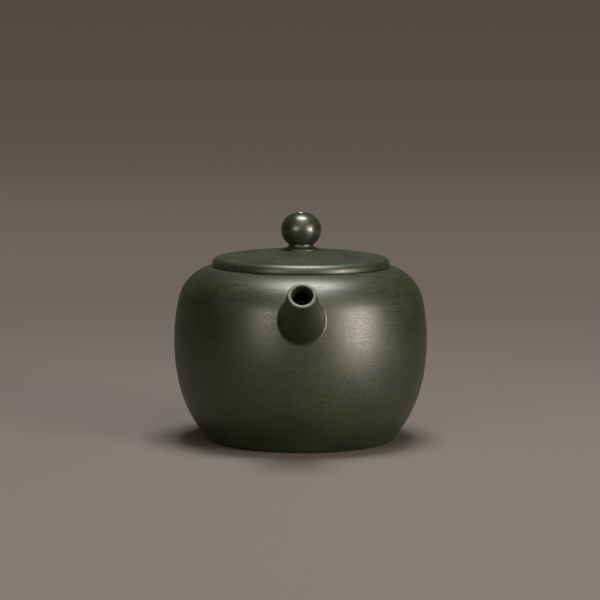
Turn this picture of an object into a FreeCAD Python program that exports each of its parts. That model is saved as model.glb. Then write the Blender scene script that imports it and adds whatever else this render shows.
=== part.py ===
# Round stoneware teapot with a flat lid that lies on its mouth, made of the pieces that a potter lutes together.
# Millimetres, +Z up. The origin is the middle of the foot, the spout points along -Y and the handle along +Y.
import FreeCAD
import Part
import Sketcher
import math
import os

# Driving dimensions. Angles are in degrees.
SIZES = {
    # Outside of the pot: arcs that run smoothly into each other
    "belly_radius": 46.0,
    "belly_height": 36.5,
    "belly_arc": 71.8,
    "belly_top_angle": 12.0,
    "belly_low_angle": 11.7,
    "shoulder_arc": 15.6,
    "lower_arc": 46.5,
    "foot_arc": 4.2,
    # Clay thickness, floor and foot
    "wall": 2.8,
    "floor_thickness": 3.2,
    "foot_width": 3.6,
    "foot_recess": 1.0,
    "foot_round": 0.4,
    "base_dish": 0.6,
    # Mouth
    "seam_drop": 4.6,
    "land_drop": 0.48,
    "land_width": 6.0,
    "land_round": 0.4,
    "ring_width": 3.5,
    "ring_depth": 4.0,
    "ring_round": 0.6,
    # Spout
    "spout_rise": 13.0,
    "spout_tilt": 27.2,
    "spout_length": 22.3,
    "spout_base_radius": 9.58,
    "spout_tip_radius": 4.8,
    "spout_flare": 250.0,
    "bore_root_radius": 6.2,
    "bore_tip_radius": 3.5,
    "lip_tilt": 11.3,
    "lip_trim": 2.0,
    "lip_round": 0.25,
    "spout_overrun": 8.0,
    # Strainer over the spout's root
    "strainer_radius": 9.0,
    "strainer_wall": 1.6,
    "strainer_hole": 0.85,
    "inner_ring_angle": 27.0,
    "inner_ring_holes": 6,
    "outer_ring_angle": 53.0,
    "outer_ring_holes": 12,
    "strainer_overrun": 3.0,
    # Handle, along its middle line
    "handle_reach": 27.0,
    "handle_lift": 7.0,
    "handle_top_arc": 13.5,
    "handle_low_arc": 22.0,
    "handle_top_slope": 10.0,
    "handle_low_slope": 20.0,
    "handle_top_radius": 4.4,
    "handle_low_radius": 3.3,
    # Lid
    "lid_inset": 0.75,
    "lid_edge": 2.62,
    "lid_dome": 168.0,
    "lid_wall": 3.2,
    "rim_thickness": 1.5,
    "rim_round": 0.5,
    "rim_side": 0.34,
    "flange_gap": 0.4,
    "flange_wall": 2.4,
    "flange_depth": 9.0,
    "flange_round": 0.8,
    # Knob
    "knob_radius": 7.3,
    "knob_arc": 6.25,
    "neck_radius": 4.43,
    "neck_height": 1.95,
    "neck_step": 0.65,
    "neck_bead": 0.6,
    "vent_radius": 1.0,
    "vent_round": 1.1,
}

# What follows from the driving dimensions, in the order in which each builds on the ones before it.
FORMULAS = {
    # Where the arcs of the outside meet, and the middles of the shoulder and lower arcs
    "shoulder_start_radius": "belly_radius - belly_arc * (1 - cos(belly_top_angle))",
    "shoulder_start_height": "belly_height + belly_arc * sin(belly_top_angle)",
    "shoulder_axis": "shoulder_start_radius - shoulder_arc * cos(belly_top_angle)",
    "shoulder_level": "shoulder_start_height - shoulder_arc * sin(belly_top_angle)",
    "lower_start_radius": "belly_radius - belly_arc * (1 - cos(belly_low_angle))",
    "lower_start_height": "belly_height - belly_arc * sin(belly_low_angle)",
    "lower_axis": "lower_start_radius - lower_arc * cos(belly_low_angle)",
    "lower_level": "lower_start_height + lower_arc * sin(belly_low_angle)",
    "foot_radius": "lower_axis + sqrt((lower_arc - foot_arc) ^ 2 - (lower_level - foot_arc) ^ 2)",
    "foot_share": "lower_arc / (lower_arc - foot_arc)",
    "foot_side_radius": "lower_axis + (foot_radius - lower_axis) * foot_share",
    "foot_side_height": "lower_level - (lower_level - foot_arc) * foot_share",
    # Inside of the pot, one wall in from the outside
    "belly_arc_in": "belly_arc - wall",
    "shoulder_arc_in": "shoulder_arc - wall",
    "lower_arc_in": "lower_arc - wall",
    "shoulder_in_radius": "shoulder_start_radius - wall * cos(belly_top_angle)",
    "shoulder_in_height": "shoulder_start_height - wall * sin(belly_top_angle)",
    "lower_in_radius": "lower_start_radius - wall * cos(belly_low_angle)",
    "lower_in_height": "lower_start_height + wall * sin(belly_low_angle)",
    "floor_top": "foot_recess + floor_thickness",
    "floor_edge": "lower_axis + sqrt(lower_arc_in ^ 2 - (lower_level - floor_top) ^ 2)",
    "disc_radius": "foot_radius - foot_width",
    "dish_top": "foot_recess + base_dish",
    "dish_arc": "(disc_radius ^ 2 + base_dish ^ 2) / (2 * base_dish)",
    # Mouth: the land on which the lid lies, the ring in it and the seam below
    "crown_height": "shoulder_level + shoulder_arc",
    "mouth_height": "crown_height - land_drop",
    "land_radius": "shoulder_axis + sqrt(shoulder_arc ^ 2 - (mouth_height - shoulder_level) ^ 2)",
    "mouth_radius": "land_radius - land_width",
    "ring_radius": "mouth_radius + ring_width",
    "ring_low": "mouth_height - ring_depth",
    "shoulder_under": "shoulder_level + sqrt(shoulder_arc_in ^ 2 - (ring_radius - shoulder_axis) ^ 2)",
    "seam_height": "crown_height - seam_drop",
    "seam_radius": "shoulder_axis + sqrt(shoulder_arc ^ 2 - (seam_height - shoulder_level) ^ 2)",
    "seam_in_radius": "shoulder_axis + sqrt(shoulder_arc_in ^ 2 - (seam_height - shoulder_level) ^ 2)",
    # Spout: its root on the wall, and its own frame with the root at 0
    "root_radius": "belly_radius - belly_arc + sqrt(belly_arc ^ 2 - spout_rise ^ 2)",
    "root_y": "-root_radius",
    "root_height": "belly_height + spout_rise",
    "spout_turn": "90 - spout_tilt",
    "spout_inner_end": "-spout_overrun",
    "spout_end": "spout_length + lip_trim",
    "lip_reach": "2 * spout_tip_radius",
    "lip_back": "-lip_reach",
    "lip_high": "spout_length + lip_reach * tan(lip_tilt)",
    "lip_low": "spout_length - lip_reach * tan(lip_tilt)",
    "lip_top": "lip_high + lip_trim",
    "hole_length": "2 * spout_overrun",
    "hole_start_y": "-(root_radius - spout_overrun * cos(spout_tilt))",
    "hole_start_z": "root_height - spout_overrun * sin(spout_tilt)",
    # Strainer: square to the wall, where the spout's middle line comes through it
    "wall_lean": "asin(spout_rise / belly_arc) / 1deg",
    "strainer_back": "wall / cos(spout_tilt - wall_lean)",
    "strainer_y": "-(root_radius - strainer_back * cos(spout_tilt))",
    "strainer_z": "root_height - strainer_back * sin(spout_tilt)",
    "strainer_turn": "-90 - wall_lean",
    "strainer_bore": "strainer_radius - strainer_wall",
    "strainer_rim": "-strainer_overrun",
    "hole_reach": "strainer_radius + strainer_wall",
    # Handle: straight out of the wall, round its outermost point and straight back in
    "handle_out": "belly_radius + handle_reach",
    "handle_level": "belly_height + handle_lift",
    "handle_top_y": "handle_out - handle_top_arc * (1 + sin(handle_top_slope))",
    "handle_top_z": "handle_level + handle_top_arc * cos(handle_top_slope)",
    "handle_low_y": "handle_out - handle_low_arc * (1 - sin(handle_low_slope))",
    "handle_low_z": "handle_level - handle_low_arc * cos(handle_low_slope)",
    "handle_start_z": "handle_top_z - (handle_top_y - shoulder_axis) * tan(handle_top_slope)",
    "handle_end_z": "handle_low_z - (handle_low_y - shoulder_axis) * tan(handle_low_slope)",
    # Lid: rim and flange from the mouth, dome from the edge
    "lid_radius": "land_radius - lid_inset",
    "flange_radius": "mouth_radius - flange_gap",
    "flange_inner": "flange_radius - flange_wall",
    "flange_low": "mouth_height - flange_depth",
    "rim_top": "mouth_height + rim_thickness",
    "rim_foot_radius": "lid_radius - rim_round",
    "rim_side_low": "mouth_height + rim_round",
    "edge_level": "rim_side_low + rim_side",
    "edge_axis": "lid_radius - lid_edge",
    "rim_top_radius": "edge_axis + sqrt(lid_edge ^ 2 - (rim_top - edge_level) ^ 2)",
    "dome_level": "edge_level - sqrt((lid_dome - lid_edge) ^ 2 - edge_axis ^ 2)",
    "dome_share": "lid_dome / (lid_dome - lid_edge)",
    "dome_start_radius": "edge_axis * dome_share",
    "dome_start_height": "dome_level + (edge_level - dome_level) * dome_share",
    "lid_crown": "dome_level + lid_dome",
    "vent_on_dome": "dome_level + sqrt(lid_dome ^ 2 - vent_radius ^ 2)",
    "under_dome": "lid_dome - lid_wall",
    "under_radius": "sqrt(under_dome ^ 2 - (rim_top - dome_level) ^ 2)",
    "vent_under_dome": "dome_level + sqrt(under_dome ^ 2 - vent_radius ^ 2)",
    # Knob: a flattened ball on a coved neck with a rounded foot
    "neck_top": "lid_crown + neck_height",
    "neck_cove": "neck_height - neck_step",
    "cove_radius": "neck_radius + neck_cove",
    "cove_height": "lid_crown + neck_step",
    "neck_foot_radius": "cove_radius + neck_bead",
    "bead_height": "cove_height - neck_bead",
    "neck_foot_height": "dome_level + sqrt(lid_dome ^ 2 - neck_foot_radius ^ 2)",
    "knob_axis": "knob_radius - knob_arc",
    "knob_level": "neck_top + sqrt(knob_arc ^ 2 - (neck_radius - knob_axis) ^ 2)",
    "vent_on_knob": "knob_level + sqrt(knob_arc ^ 2 - (vent_radius - knob_axis) ^ 2)",
}

SHEET = "Dimensions"
# Which way an arc turns as an outline is followed with the clay on its left
SWELLS = 1
HOLLOWS = -1
# A corner coordinate that lies on the sketch's own axis
ON_AXIS = None
FULL_TURN = 360.0
CLOSE = 1e-4

doc = FreeCAD.newDocument("teapot")


def fill_sheet():
    """Write the driving dimensions and the formulas into the sheet, one named row each."""
    table = doc.addObject("Spreadsheet::Sheet", SHEET)
    rows = {name: str(size) for name, size in SIZES.items()}
    rows.update({name: f"={formula}" for name, formula in FORMULAS.items()})
    for row, (name, content) in enumerate(rows.items(), 1):
        table.set(f"A{row}", name)
        table.set(f"B{row}", content)
        table.setAlias(f"B{row}", name)
    doc.recompute()
    return table


sheet = fill_sheet()


def value(name):
    """The number that a sheet name stands for, with 0 for a place on the axis."""
    return 0.0 if name is ON_AXIS else float(getattr(sheet, name))


def bind(thing, setting, name):
    """Tie one setting of an object to a sheet name."""
    thing.setExpression(setting, f"{SHEET}.{name}")


def new_body(name):
    body = doc.addObject("PartDesign::Body", name)
    body.Label = name
    return body


def new_sketch(body, name, role):
    """A sketch on one of the body's own origin planes."""
    sketch = body.newObject("Sketcher::SketchObject", name)
    plane = next(feature for feature in body.Origin.OriginFeatures if feature.Role == role)
    sketch.AttachmentSupport = (plane, [""])
    sketch.MapMode = "FlatFace"
    return sketch


def arc_between(start, end, radius, turn):
    """The short arc from start to end, with its middle on the left for turn 1 and on the right for turn -1."""
    chord = end - start
    half = chord.Length / 2
    left = FreeCAD.Vector(-chord.y, chord.x, 0).normalize()
    middle = start + chord / 2 + left * (turn * math.sqrt(radius**2 - half**2))
    first, last = (start, end) if turn == SWELLS else (end, start)
    angles = [math.atan2(point.y - middle.y, point.x - middle.x) for point in (first, last)]
    circle = Part.Circle(middle, FreeCAD.Vector(0, 0, 1), radius)
    return Part.ArcOfCircle(circle, angles[0], angles[1])


def pin(sketch, geometry, end, corner):
    """Tie one end of a line or arc to a corner, a pair of sheet names across and up."""
    for name, constraint, axis in zip(corner, ("DistanceX", "DistanceY"), (-2, -1)):
        if name is ON_AXIS:
            sketch.addConstraint(Sketcher.Constraint("PointOnObject", geometry, end, axis))
        else:
            number = sketch.addConstraint(Sketcher.Constraint(constraint, -1, 1, geometry, end, value(name)))
            bind(sketch, f"Constraints[{number}]", name)


def draw(sketch, corners, arcs=None, closed=True):
    """Draw lines, or arcs where arcs gives (radius name, turn) for a side, and tie each corner to the sheet."""
    arcs = arcs or {}
    points = [FreeCAD.Vector(value(across), value(up), 0) for across, up in corners]
    count = len(points) if closed else len(points) - 1
    ends = []
    for side in range(count):
        start, end = points[side], points[(side + 1) % len(points)]
        if side in arcs:
            name, turn = arcs[side]
            number = sketch.addGeometry(arc_between(start, end, value(name), turn))
            radius = sketch.addConstraint(Sketcher.Constraint("Radius", number, value(name)))
            bind(sketch, f"Constraints[{radius}]", name)
            ends.append((number, 1, 2) if turn == SWELLS else (number, 2, 1))
        else:
            ends.append((sketch.addGeometry(Part.LineSegment(start, end)), 1, 2))
    for side in range(count):
        number, first, last = ends[side]
        pin(sketch, number, first, corners[side])
        if side + 1 < count or closed:
            following, following_first, _ = ends[(side + 1) % count]
            sketch.addConstraint(Sketcher.Constraint("Coincident", number, last, following, following_first))
        else:
            pin(sketch, number, last, corners[-1])


def turned(name, corners, arcs=None):
    """A body turned about its own upright axis from an outline of radii and heights."""
    body = new_body(name)
    sketch = new_sketch(body, f"{name}_section", "XZ_Plane")
    draw(sketch, corners, arcs)
    feature = body.newObject("PartDesign::Revolution", f"{name}_turned")
    feature.Profile = sketch
    feature.ReferenceAxis = (sketch, ["V_Axis"])
    feature.Angle = FULL_TURN
    body.Tip = feature
    return body


def round_off(body, radius_name, wanted):
    """Round the edges of the body's last feature that the test picks."""
    doc.recompute()
    base = body.Tip
    edges = [f"Edge{number}" for number, edge in enumerate(base.Shape.Edges, 1) if wanted(edge)]
    if not edges:
        raise RuntimeError(f"{body.Label}: no edge to round with {radius_name}")
    fillet = body.newObject("PartDesign::Fillet", f"{body.Name}_{radius_name}")
    fillet.Base = (base, edges)
    bind(fillet, "Radius", radius_name)
    body.Tip = fillet


def ring_edge(radius_name, height_name):
    """A test for the circular edge at that radius and height about the body's axis."""
    radius, height = value(radius_name), value(height_name)

    def wanted(edge):
        curve = edge.Curve
        if not isinstance(curve, Part.Circle):
            return False
        return abs(curve.Radius - radius) < CLOSE and abs(curve.Center.z - height) < CLOSE

    return wanted


def place(thing, y_name, z_name, turn_name):
    """Set an object in the plane of the spout and handle, turned about X."""
    thing.Placement = FreeCAD.Placement(FreeCAD.Vector(), FreeCAD.Rotation(FreeCAD.Vector(1, 0, 0), 1))
    bind(thing, "Placement.Base.y", y_name)
    bind(thing, "Placement.Base.z", z_name)
    bind(thing, "Placement.Rotation.Angle", turn_name)


def combined(kind, name, base, tool):
    """A boolean of two objects, which becomes the piece of that name."""
    result = doc.addObject(kind, name)
    result.Label = name
    result.Base = base
    result.Tool = tool
    result.Refine = True
    return result


def make_pot_outside():
    """The pot's outside as one solid form, to trim what is luted on to it."""
    corners = [
        (ON_AXIS, ON_AXIS),
        ("foot_radius", ON_AXIS),
        ("foot_side_radius", "foot_side_height"),
        ("lower_start_radius", "lower_start_height"),
        ("shoulder_start_radius", "shoulder_start_height"),
        ("land_radius", "mouth_height"),
        (ON_AXIS, "mouth_height"),
    ]
    arcs = {
        1: ("foot_arc", SWELLS),
        2: ("lower_arc", SWELLS),
        3: ("belly_arc", SWELLS),
        4: ("shoulder_arc", SWELLS),
    }
    return turned("pot_outside", corners, arcs)


def make_pot_inside():
    """The pot's inside as one solid form, to trim the strainer."""
    corners = [
        (ON_AXIS, "floor_top"),
        ("floor_edge", "floor_top"),
        ("lower_in_radius", "lower_in_height"),
        ("shoulder_in_radius", "shoulder_in_height"),
        ("seam_in_radius", "seam_height"),
        (ON_AXIS, "seam_height"),
    ]
    arcs = {
        1: ("lower_arc_in", SWELLS),
        2: ("belly_arc_in", SWELLS),
        3: ("shoulder_arc_in", SWELLS),
    }
    return turned("pot_inside", corners, arcs)


def make_base_disc():
    """The floor slab, dished underneath, inside the ring on which the pot stands."""
    corners = [
        (ON_AXIS, "dish_top"),
        ("disc_radius", "foot_recess"),
        ("disc_radius", "floor_top"),
        (ON_AXIS, "floor_top"),
    ]
    return turned("base_disc", corners, {0: ("dish_arc", HOLLOWS)})


def make_body_wall():
    """The paddled wall from the foot to the seam below the mouth, with the hole behind the spout."""
    corners = [
        ("disc_radius", ON_AXIS),
        ("foot_radius", ON_AXIS),
        ("foot_side_radius", "foot_side_height"),
        ("lower_start_radius", "lower_start_height"),
        ("shoulder_start_radius", "shoulder_start_height"),
        ("seam_radius", "seam_height"),
        ("seam_in_radius", "seam_height"),
        ("shoulder_in_radius", "shoulder_in_height"),
        ("lower_in_radius", "lower_in_height"),
        ("floor_edge", "floor_top"),
        ("disc_radius", "floor_top"),
    ]
    arcs = {
        1: ("foot_arc", SWELLS),
        2: ("lower_arc", SWELLS),
        3: ("belly_arc", SWELLS),
        4: ("shoulder_arc", SWELLS),
        6: ("shoulder_arc_in", HOLLOWS),
        7: ("belly_arc_in", HOLLOWS),
        8: ("lower_arc_in", HOLLOWS),
    }
    blank = turned("wall_blank", corners, arcs)
    round_off(blank, "foot_round", ring_edge("disc_radius", ON_AXIS))
    hole = doc.addObject("Part::Cylinder", "spout_hole")
    bind(hole, "Radius", "bore_root_radius")
    bind(hole, "Height", "hole_length")
    place(hole, "hole_start_y", "hole_start_z", "spout_turn")
    return combined("Part::Cut", "body_wall", blank, hole)


def make_shoulder_disc():
    """What is left of the top slab once the mouth is cut: the shoulder and the outer part of the lid's land."""
    corners = [
        ("seam_in_radius", "seam_height"),
        ("seam_radius", "seam_height"),
        ("land_radius", "mouth_height"),
        ("ring_radius", "mouth_height"),
        ("ring_radius", "shoulder_under"),
    ]
    arcs = {1: ("shoulder_arc", SWELLS), 4: ("shoulder_arc_in", HOLLOWS)}
    body = turned("shoulder_disc", corners, arcs)
    round_off(body, "land_round", ring_edge("land_radius", "mouth_height"))
    return body


def make_mouth_ring():
    """The ring luted into the mouth, which guides the lid's flange."""
    corners = [
        ("mouth_radius", "ring_low"),
        ("ring_radius", "ring_low"),
        ("ring_radius", "mouth_height"),
        ("mouth_radius", "mouth_height"),
    ]
    body = turned("mouth_ring", corners)
    edges = [
        ring_edge("mouth_radius", "ring_low"),
        ring_edge("ring_radius", "ring_low"),
        ring_edge("mouth_radius", "mouth_height"),
    ]
    round_off(body, "ring_round", lambda edge: any(wanted(edge) for wanted in edges))
    return body


def make_spout(pot_outside):
    """The tapered spout, flared to its root, its lip cut on the slant and its root trimmed to the wall."""
    corners = [
        ("bore_root_radius", "spout_inner_end"),
        ("spout_base_radius", "spout_inner_end"),
        ("spout_tip_radius", "spout_end"),
        ("bore_tip_radius", "spout_end"),
        ("bore_root_radius", ON_AXIS),
    ]
    blank = turned("spout_blank", corners, {1: ("spout_flare", HOLLOWS)})
    doc.recompute()
    whole = blank.Shape.Volume
    slant = new_sketch(blank, "lip_slant", "YZ_Plane")
    draw(
        slant,
        [
            ("lip_back", "lip_high"),
            ("lip_reach", "lip_low"),
            ("lip_reach", "lip_top"),
            ("lip_back", "lip_top"),
        ],
    )
    cut = blank.newObject("PartDesign::Pocket", "lip_cut")
    cut.Profile = slant
    cut.Type = "ThroughAll"
    cut.SideType = "Symmetric"
    blank.Tip = cut
    doc.recompute()
    if blank.Shape.Volume >= whole:
        raise RuntimeError("the slanted cut takes nothing off the lip")
    lean = math.tan(math.radians(value("lip_tilt")))

    def on_lip(edge):
        places = [edge.valueAt(share) for share in (edge.FirstParameter, edge.LastParameter)]
        places.append(edge.valueAt((edge.FirstParameter + edge.LastParameter) / 2))
        return all(abs(p.z + p.y * lean - value("spout_length")) < CLOSE for p in places)

    round_off(blank, "lip_round", on_lip)
    place(blank, "root_y", "root_height", "spout_turn")
    return combined("Part::Cut", "spout", blank, pot_outside)


def make_strainer(pot_inside):
    """A thin dome over the hole behind the spout, pierced square to its surface and trimmed to the wall."""
    corners = [
        ("strainer_bore", "strainer_rim"),
        ("strainer_radius", "strainer_rim"),
        ("strainer_radius", ON_AXIS),
        (ON_AXIS, "strainer_radius"),
        (ON_AXIS, "strainer_bore"),
        ("strainer_bore", ON_AXIS),
    ]
    arcs = {2: ("strainer_radius", SWELLS), 4: ("strainer_bore", HOLLOWS)}
    blank = turned("strainer_blank", corners, arcs)
    upright = next(feature for feature in blank.Origin.OriginFeatures if feature.Role == "Z_Axis")
    level = next(feature for feature in blank.Origin.OriginFeatures if feature.Role == "XY_Plane")

    def pierce(name, angle_name, count_name):
        drill = blank.newObject("PartDesign::SubtractiveCylinder", f"{name}_hole")
        drill.AttachmentSupport = (level, [""])
        drill.MapMode = "FlatFace"
        bind(drill, "Radius", "strainer_hole")
        bind(drill, "Height", "hole_reach")
        blank.Tip = drill
        if angle_name:
            tilt = FreeCAD.Rotation(FreeCAD.Vector(0, 1, 0), 1)
            drill.AttachmentOffset = FreeCAD.Placement(FreeCAD.Vector(), tilt)
            bind(drill, "AttachmentOffset.Rotation.Angle", angle_name)
            doc.recompute()
            ring = blank.newObject("PartDesign::PolarPattern", f"{name}_ring")
            ring.Originals = [drill]
            ring.Axis = (upright, [""])
            ring.Angle = FULL_TURN
            bind(ring, "Occurrences", count_name)
            blank.Tip = ring
        doc.recompute()

    pierce("middle", None, None)
    pierce("inner", "inner_ring_angle", "inner_ring_holes")
    pierce("outer", "outer_ring_angle", "outer_ring_holes")
    place(blank, "strainer_y", "strainer_z", "strainer_turn")
    return combined("Part::Common", "strainer", blank, pot_inside)


def make_handle(pot_outside):
    """The ear-shaped loop, thicker at the shoulder than low down, with both ends trimmed to the wall."""
    blank = new_body("handle_blank")
    path = new_sketch(blank, "handle_path", "YZ_Plane")
    draw(
        path,
        [
            ("shoulder_axis", "handle_start_z"),
            ("handle_top_y", "handle_top_z"),
            ("handle_out", "handle_level"),
            ("handle_low_y", "handle_low_z"),
            ("shoulder_axis", "handle_end_z"),
        ],
        {1: ("handle_top_arc", HOLLOWS), 2: ("handle_low_arc", HOLLOWS)},
        closed=False,
    )
    sections = []
    for name, edge, share in (("handle_top_radius", "Edge1", 0.0), ("handle_low_radius", "Edge4", 1.0)):
        section = blank.newObject("Sketcher::SketchObject", f"{name}_section")
        section.AttachmentSupport = (path, [edge])
        section.MapMode = "NormalToEdge"
        section.MapPathParameter = share
        circle = Part.Circle(FreeCAD.Vector(), FreeCAD.Vector(0, 0, 1), value(name))
        section.addGeometry(circle)
        section.addConstraint(Sketcher.Constraint("Coincident", 0, 3, -1, 1))
        radius = section.addConstraint(Sketcher.Constraint("Radius", 0, value(name)))
        bind(section, f"Constraints[{radius}]", name)
        sections.append(section)
    doc.recompute()
    loop = blank.newObject("PartDesign::AdditivePipe", "handle_loop")
    loop.Profile = sections[0]
    loop.Spine = (path, [""])
    loop.Transformation = "Multisection"
    loop.Sections = [(sections[1], [""])]
    blank.Tip = loop
    return combined("Part::Cut", "handle", blank, pot_outside)


def make_lid_disc():
    """The domed slab of the lid, with its seat for the rim and flange and the vent through its middle."""
    corners = [
        ("under_radius", "rim_top"),
        ("rim_top_radius", "rim_top"),
        ("dome_start_radius", "dome_start_height"),
        ("vent_radius", "vent_on_dome"),
        ("vent_radius", "vent_under_dome"),
    ]
    arcs = {
        1: ("lid_edge", SWELLS),
        2: ("lid_dome", SWELLS),
        4: ("under_dome", HOLLOWS),
    }
    return turned("lid_disc", corners, arcs)


def make_lid_rim():
    """The strip luted under the edge of the lid, which lies on the mouth."""
    corners = [
        ("flange_radius", "mouth_height"),
        ("rim_foot_radius", "mouth_height"),
        ("lid_radius", "rim_side_low"),
        ("lid_radius", "edge_level"),
        ("rim_top_radius", "rim_top"),
        ("flange_radius", "rim_top"),
    ]
    arcs = {1: ("rim_round", SWELLS), 3: ("lid_edge", SWELLS)}
    return turned("lid_rim", corners, arcs)


def make_lid_flange():
    """The collar under the lid that drops into the mouth."""
    corners = [
        ("flange_inner", "flange_low"),
        ("flange_radius", "flange_low"),
        ("flange_radius", "rim_top"),
        ("flange_inner", "rim_top"),
    ]
    body = turned("lid_flange", corners)
    edges = [ring_edge("flange_inner", "flange_low"), ring_edge("flange_radius", "flange_low")]
    round_off(body, "flange_round", lambda edge: any(wanted(edge) for wanted in edges))
    return body


def make_knob_neck():
    """The coved collar between the lid and the knob, with a rounded foot that follows the dome."""
    corners = [
        ("vent_radius", "vent_on_dome"),
        ("neck_foot_radius", "neck_foot_height"),
        ("neck_foot_radius", "bead_height"),
        ("cove_radius", "cove_height"),
        ("neck_radius", "neck_top"),
        ("vent_radius", "neck_top"),
    ]
    arcs = {
        0: ("lid_dome", HOLLOWS),
        2: ("neck_bead", SWELLS),
        3: ("neck_cove", HOLLOWS),
    }
    return turned("knob_neck", corners, arcs)


def make_lid_knob():
    """The flattened ball, with the vent through it and a soft edge round the vent."""
    corners = [
        ("vent_radius", "neck_top"),
        ("neck_radius", "neck_top"),
        ("knob_radius", "knob_level"),
        ("vent_radius", "vent_on_knob"),
    ]
    arcs = {1: ("knob_arc", SWELLS), 2: ("knob_arc", SWELLS)}
    body = turned("lid_knob", corners, arcs)
    round_off(body, "vent_round", ring_edge("vent_radius", "vent_on_knob"))
    return body


def check(pieces):
    """Stop if anything in the document failed or a piece is not one sound solid."""
    for thing in doc.Objects:
        if "Invalid" in thing.State or "Error" in thing.State:
            raise RuntimeError(f"{thing.Label} failed: {thing.State}")
    for piece in pieces:
        shape = piece.Shape
        if shape.isNull() or not shape.isValid() or len(shape.Solids) != 1:
            raise RuntimeError(f"{piece.Label} is not one sound solid")


def main():
    pot_outside = make_pot_outside()
    pot_inside = make_pot_inside()
    pieces = [
        make_base_disc(),
        make_body_wall(),
        make_shoulder_disc(),
        make_mouth_ring(),
        make_spout(pot_outside),
        make_strainer(pot_inside),
        make_handle(pot_outside),
        make_lid_disc(),
        make_lid_rim(),
        make_lid_flange(),
        make_knob_neck(),
        make_lid_knob(),
    ]
    doc.recompute()
    check(pieces)
    os.makedirs("parts", exist_ok=True)
    for piece in pieces:
        print(f"{piece.Label}: {piece.Shape.Volume:.0f} mm3")
        piece.Shape.exportStep(f"parts/{piece.Label}.step")


main()
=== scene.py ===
"""Dress a dark stoneware teapot: turned clay, luted joints, burnished finishes, soft light."""

import logging
import math
from collections.abc import Callable
from dataclasses import dataclass, field
from enum import Enum

import bmesh
import bpy
import numpy as np
from mathutils import Matrix, Vector


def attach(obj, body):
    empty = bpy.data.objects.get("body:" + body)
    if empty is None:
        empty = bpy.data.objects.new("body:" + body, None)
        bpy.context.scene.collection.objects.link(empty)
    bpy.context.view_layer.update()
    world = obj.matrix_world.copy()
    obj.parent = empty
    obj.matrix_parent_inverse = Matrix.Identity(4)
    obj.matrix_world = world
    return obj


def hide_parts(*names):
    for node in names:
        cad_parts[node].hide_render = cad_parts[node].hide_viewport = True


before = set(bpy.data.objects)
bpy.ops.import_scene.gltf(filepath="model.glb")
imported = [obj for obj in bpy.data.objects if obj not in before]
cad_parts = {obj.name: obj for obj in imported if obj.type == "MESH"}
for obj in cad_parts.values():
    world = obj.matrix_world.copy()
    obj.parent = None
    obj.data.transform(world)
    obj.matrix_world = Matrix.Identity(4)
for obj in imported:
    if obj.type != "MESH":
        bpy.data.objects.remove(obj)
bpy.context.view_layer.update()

LOG = logging.getLogger("teapot")
MM = 0.001
# Longest step and widest turn between two points of a round stretch
ARC_STEP = 0.8 * MM
ARC_TURN = math.radians(5.0)
# Points on a softened corner
CORNER_POINTS = 7
# Two faces that meet at more than this stay crisp
CREASE = math.radians(35.0)
# Points nearer than this are one point
WELD = 0.001 * MM


class Body(Enum):
    """The rigid bodies that a piece can ride on."""

    POT = "pot"
    LID = "lid"


class Slot(Enum):
    """The material slots."""

    BURNISHED = "burnished_stoneware"
    BARE = "bare_stoneware"
    POLISHED = "polished_stoneware"


class Section(Enum):
    """Whether a turned section closes on itself or runs from the axis to the axis."""

    RING = True
    DISC = False


class Use(Enum):
    """What a node group makes."""

    SHAPE = "GeometryNodeTree"
    LOOK = "ShaderNodeTree"


class Socket(Enum):
    """The kinds of input and output that a node group has."""

    SHAPE = "NodeSocketGeometry"
    COUNT = "NodeSocketInt"
    NUMBER = "NodeSocketFloat"
    PLACE = "NodeSocketVector"
    CLAY = "NodeSocketMaterial"


Place = tuple[float, float]
Colour = tuple[float, float, float, float]
Tree = bpy.types.NodeTree
Node = bpy.types.Node
Output = bpy.types.NodeSocket
Feed = Node | Output | float | tuple[float, ...]
Feeds = dict[str | int, Feed]
Sockets = dict[Socket, tuple[str, ...]]


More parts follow.
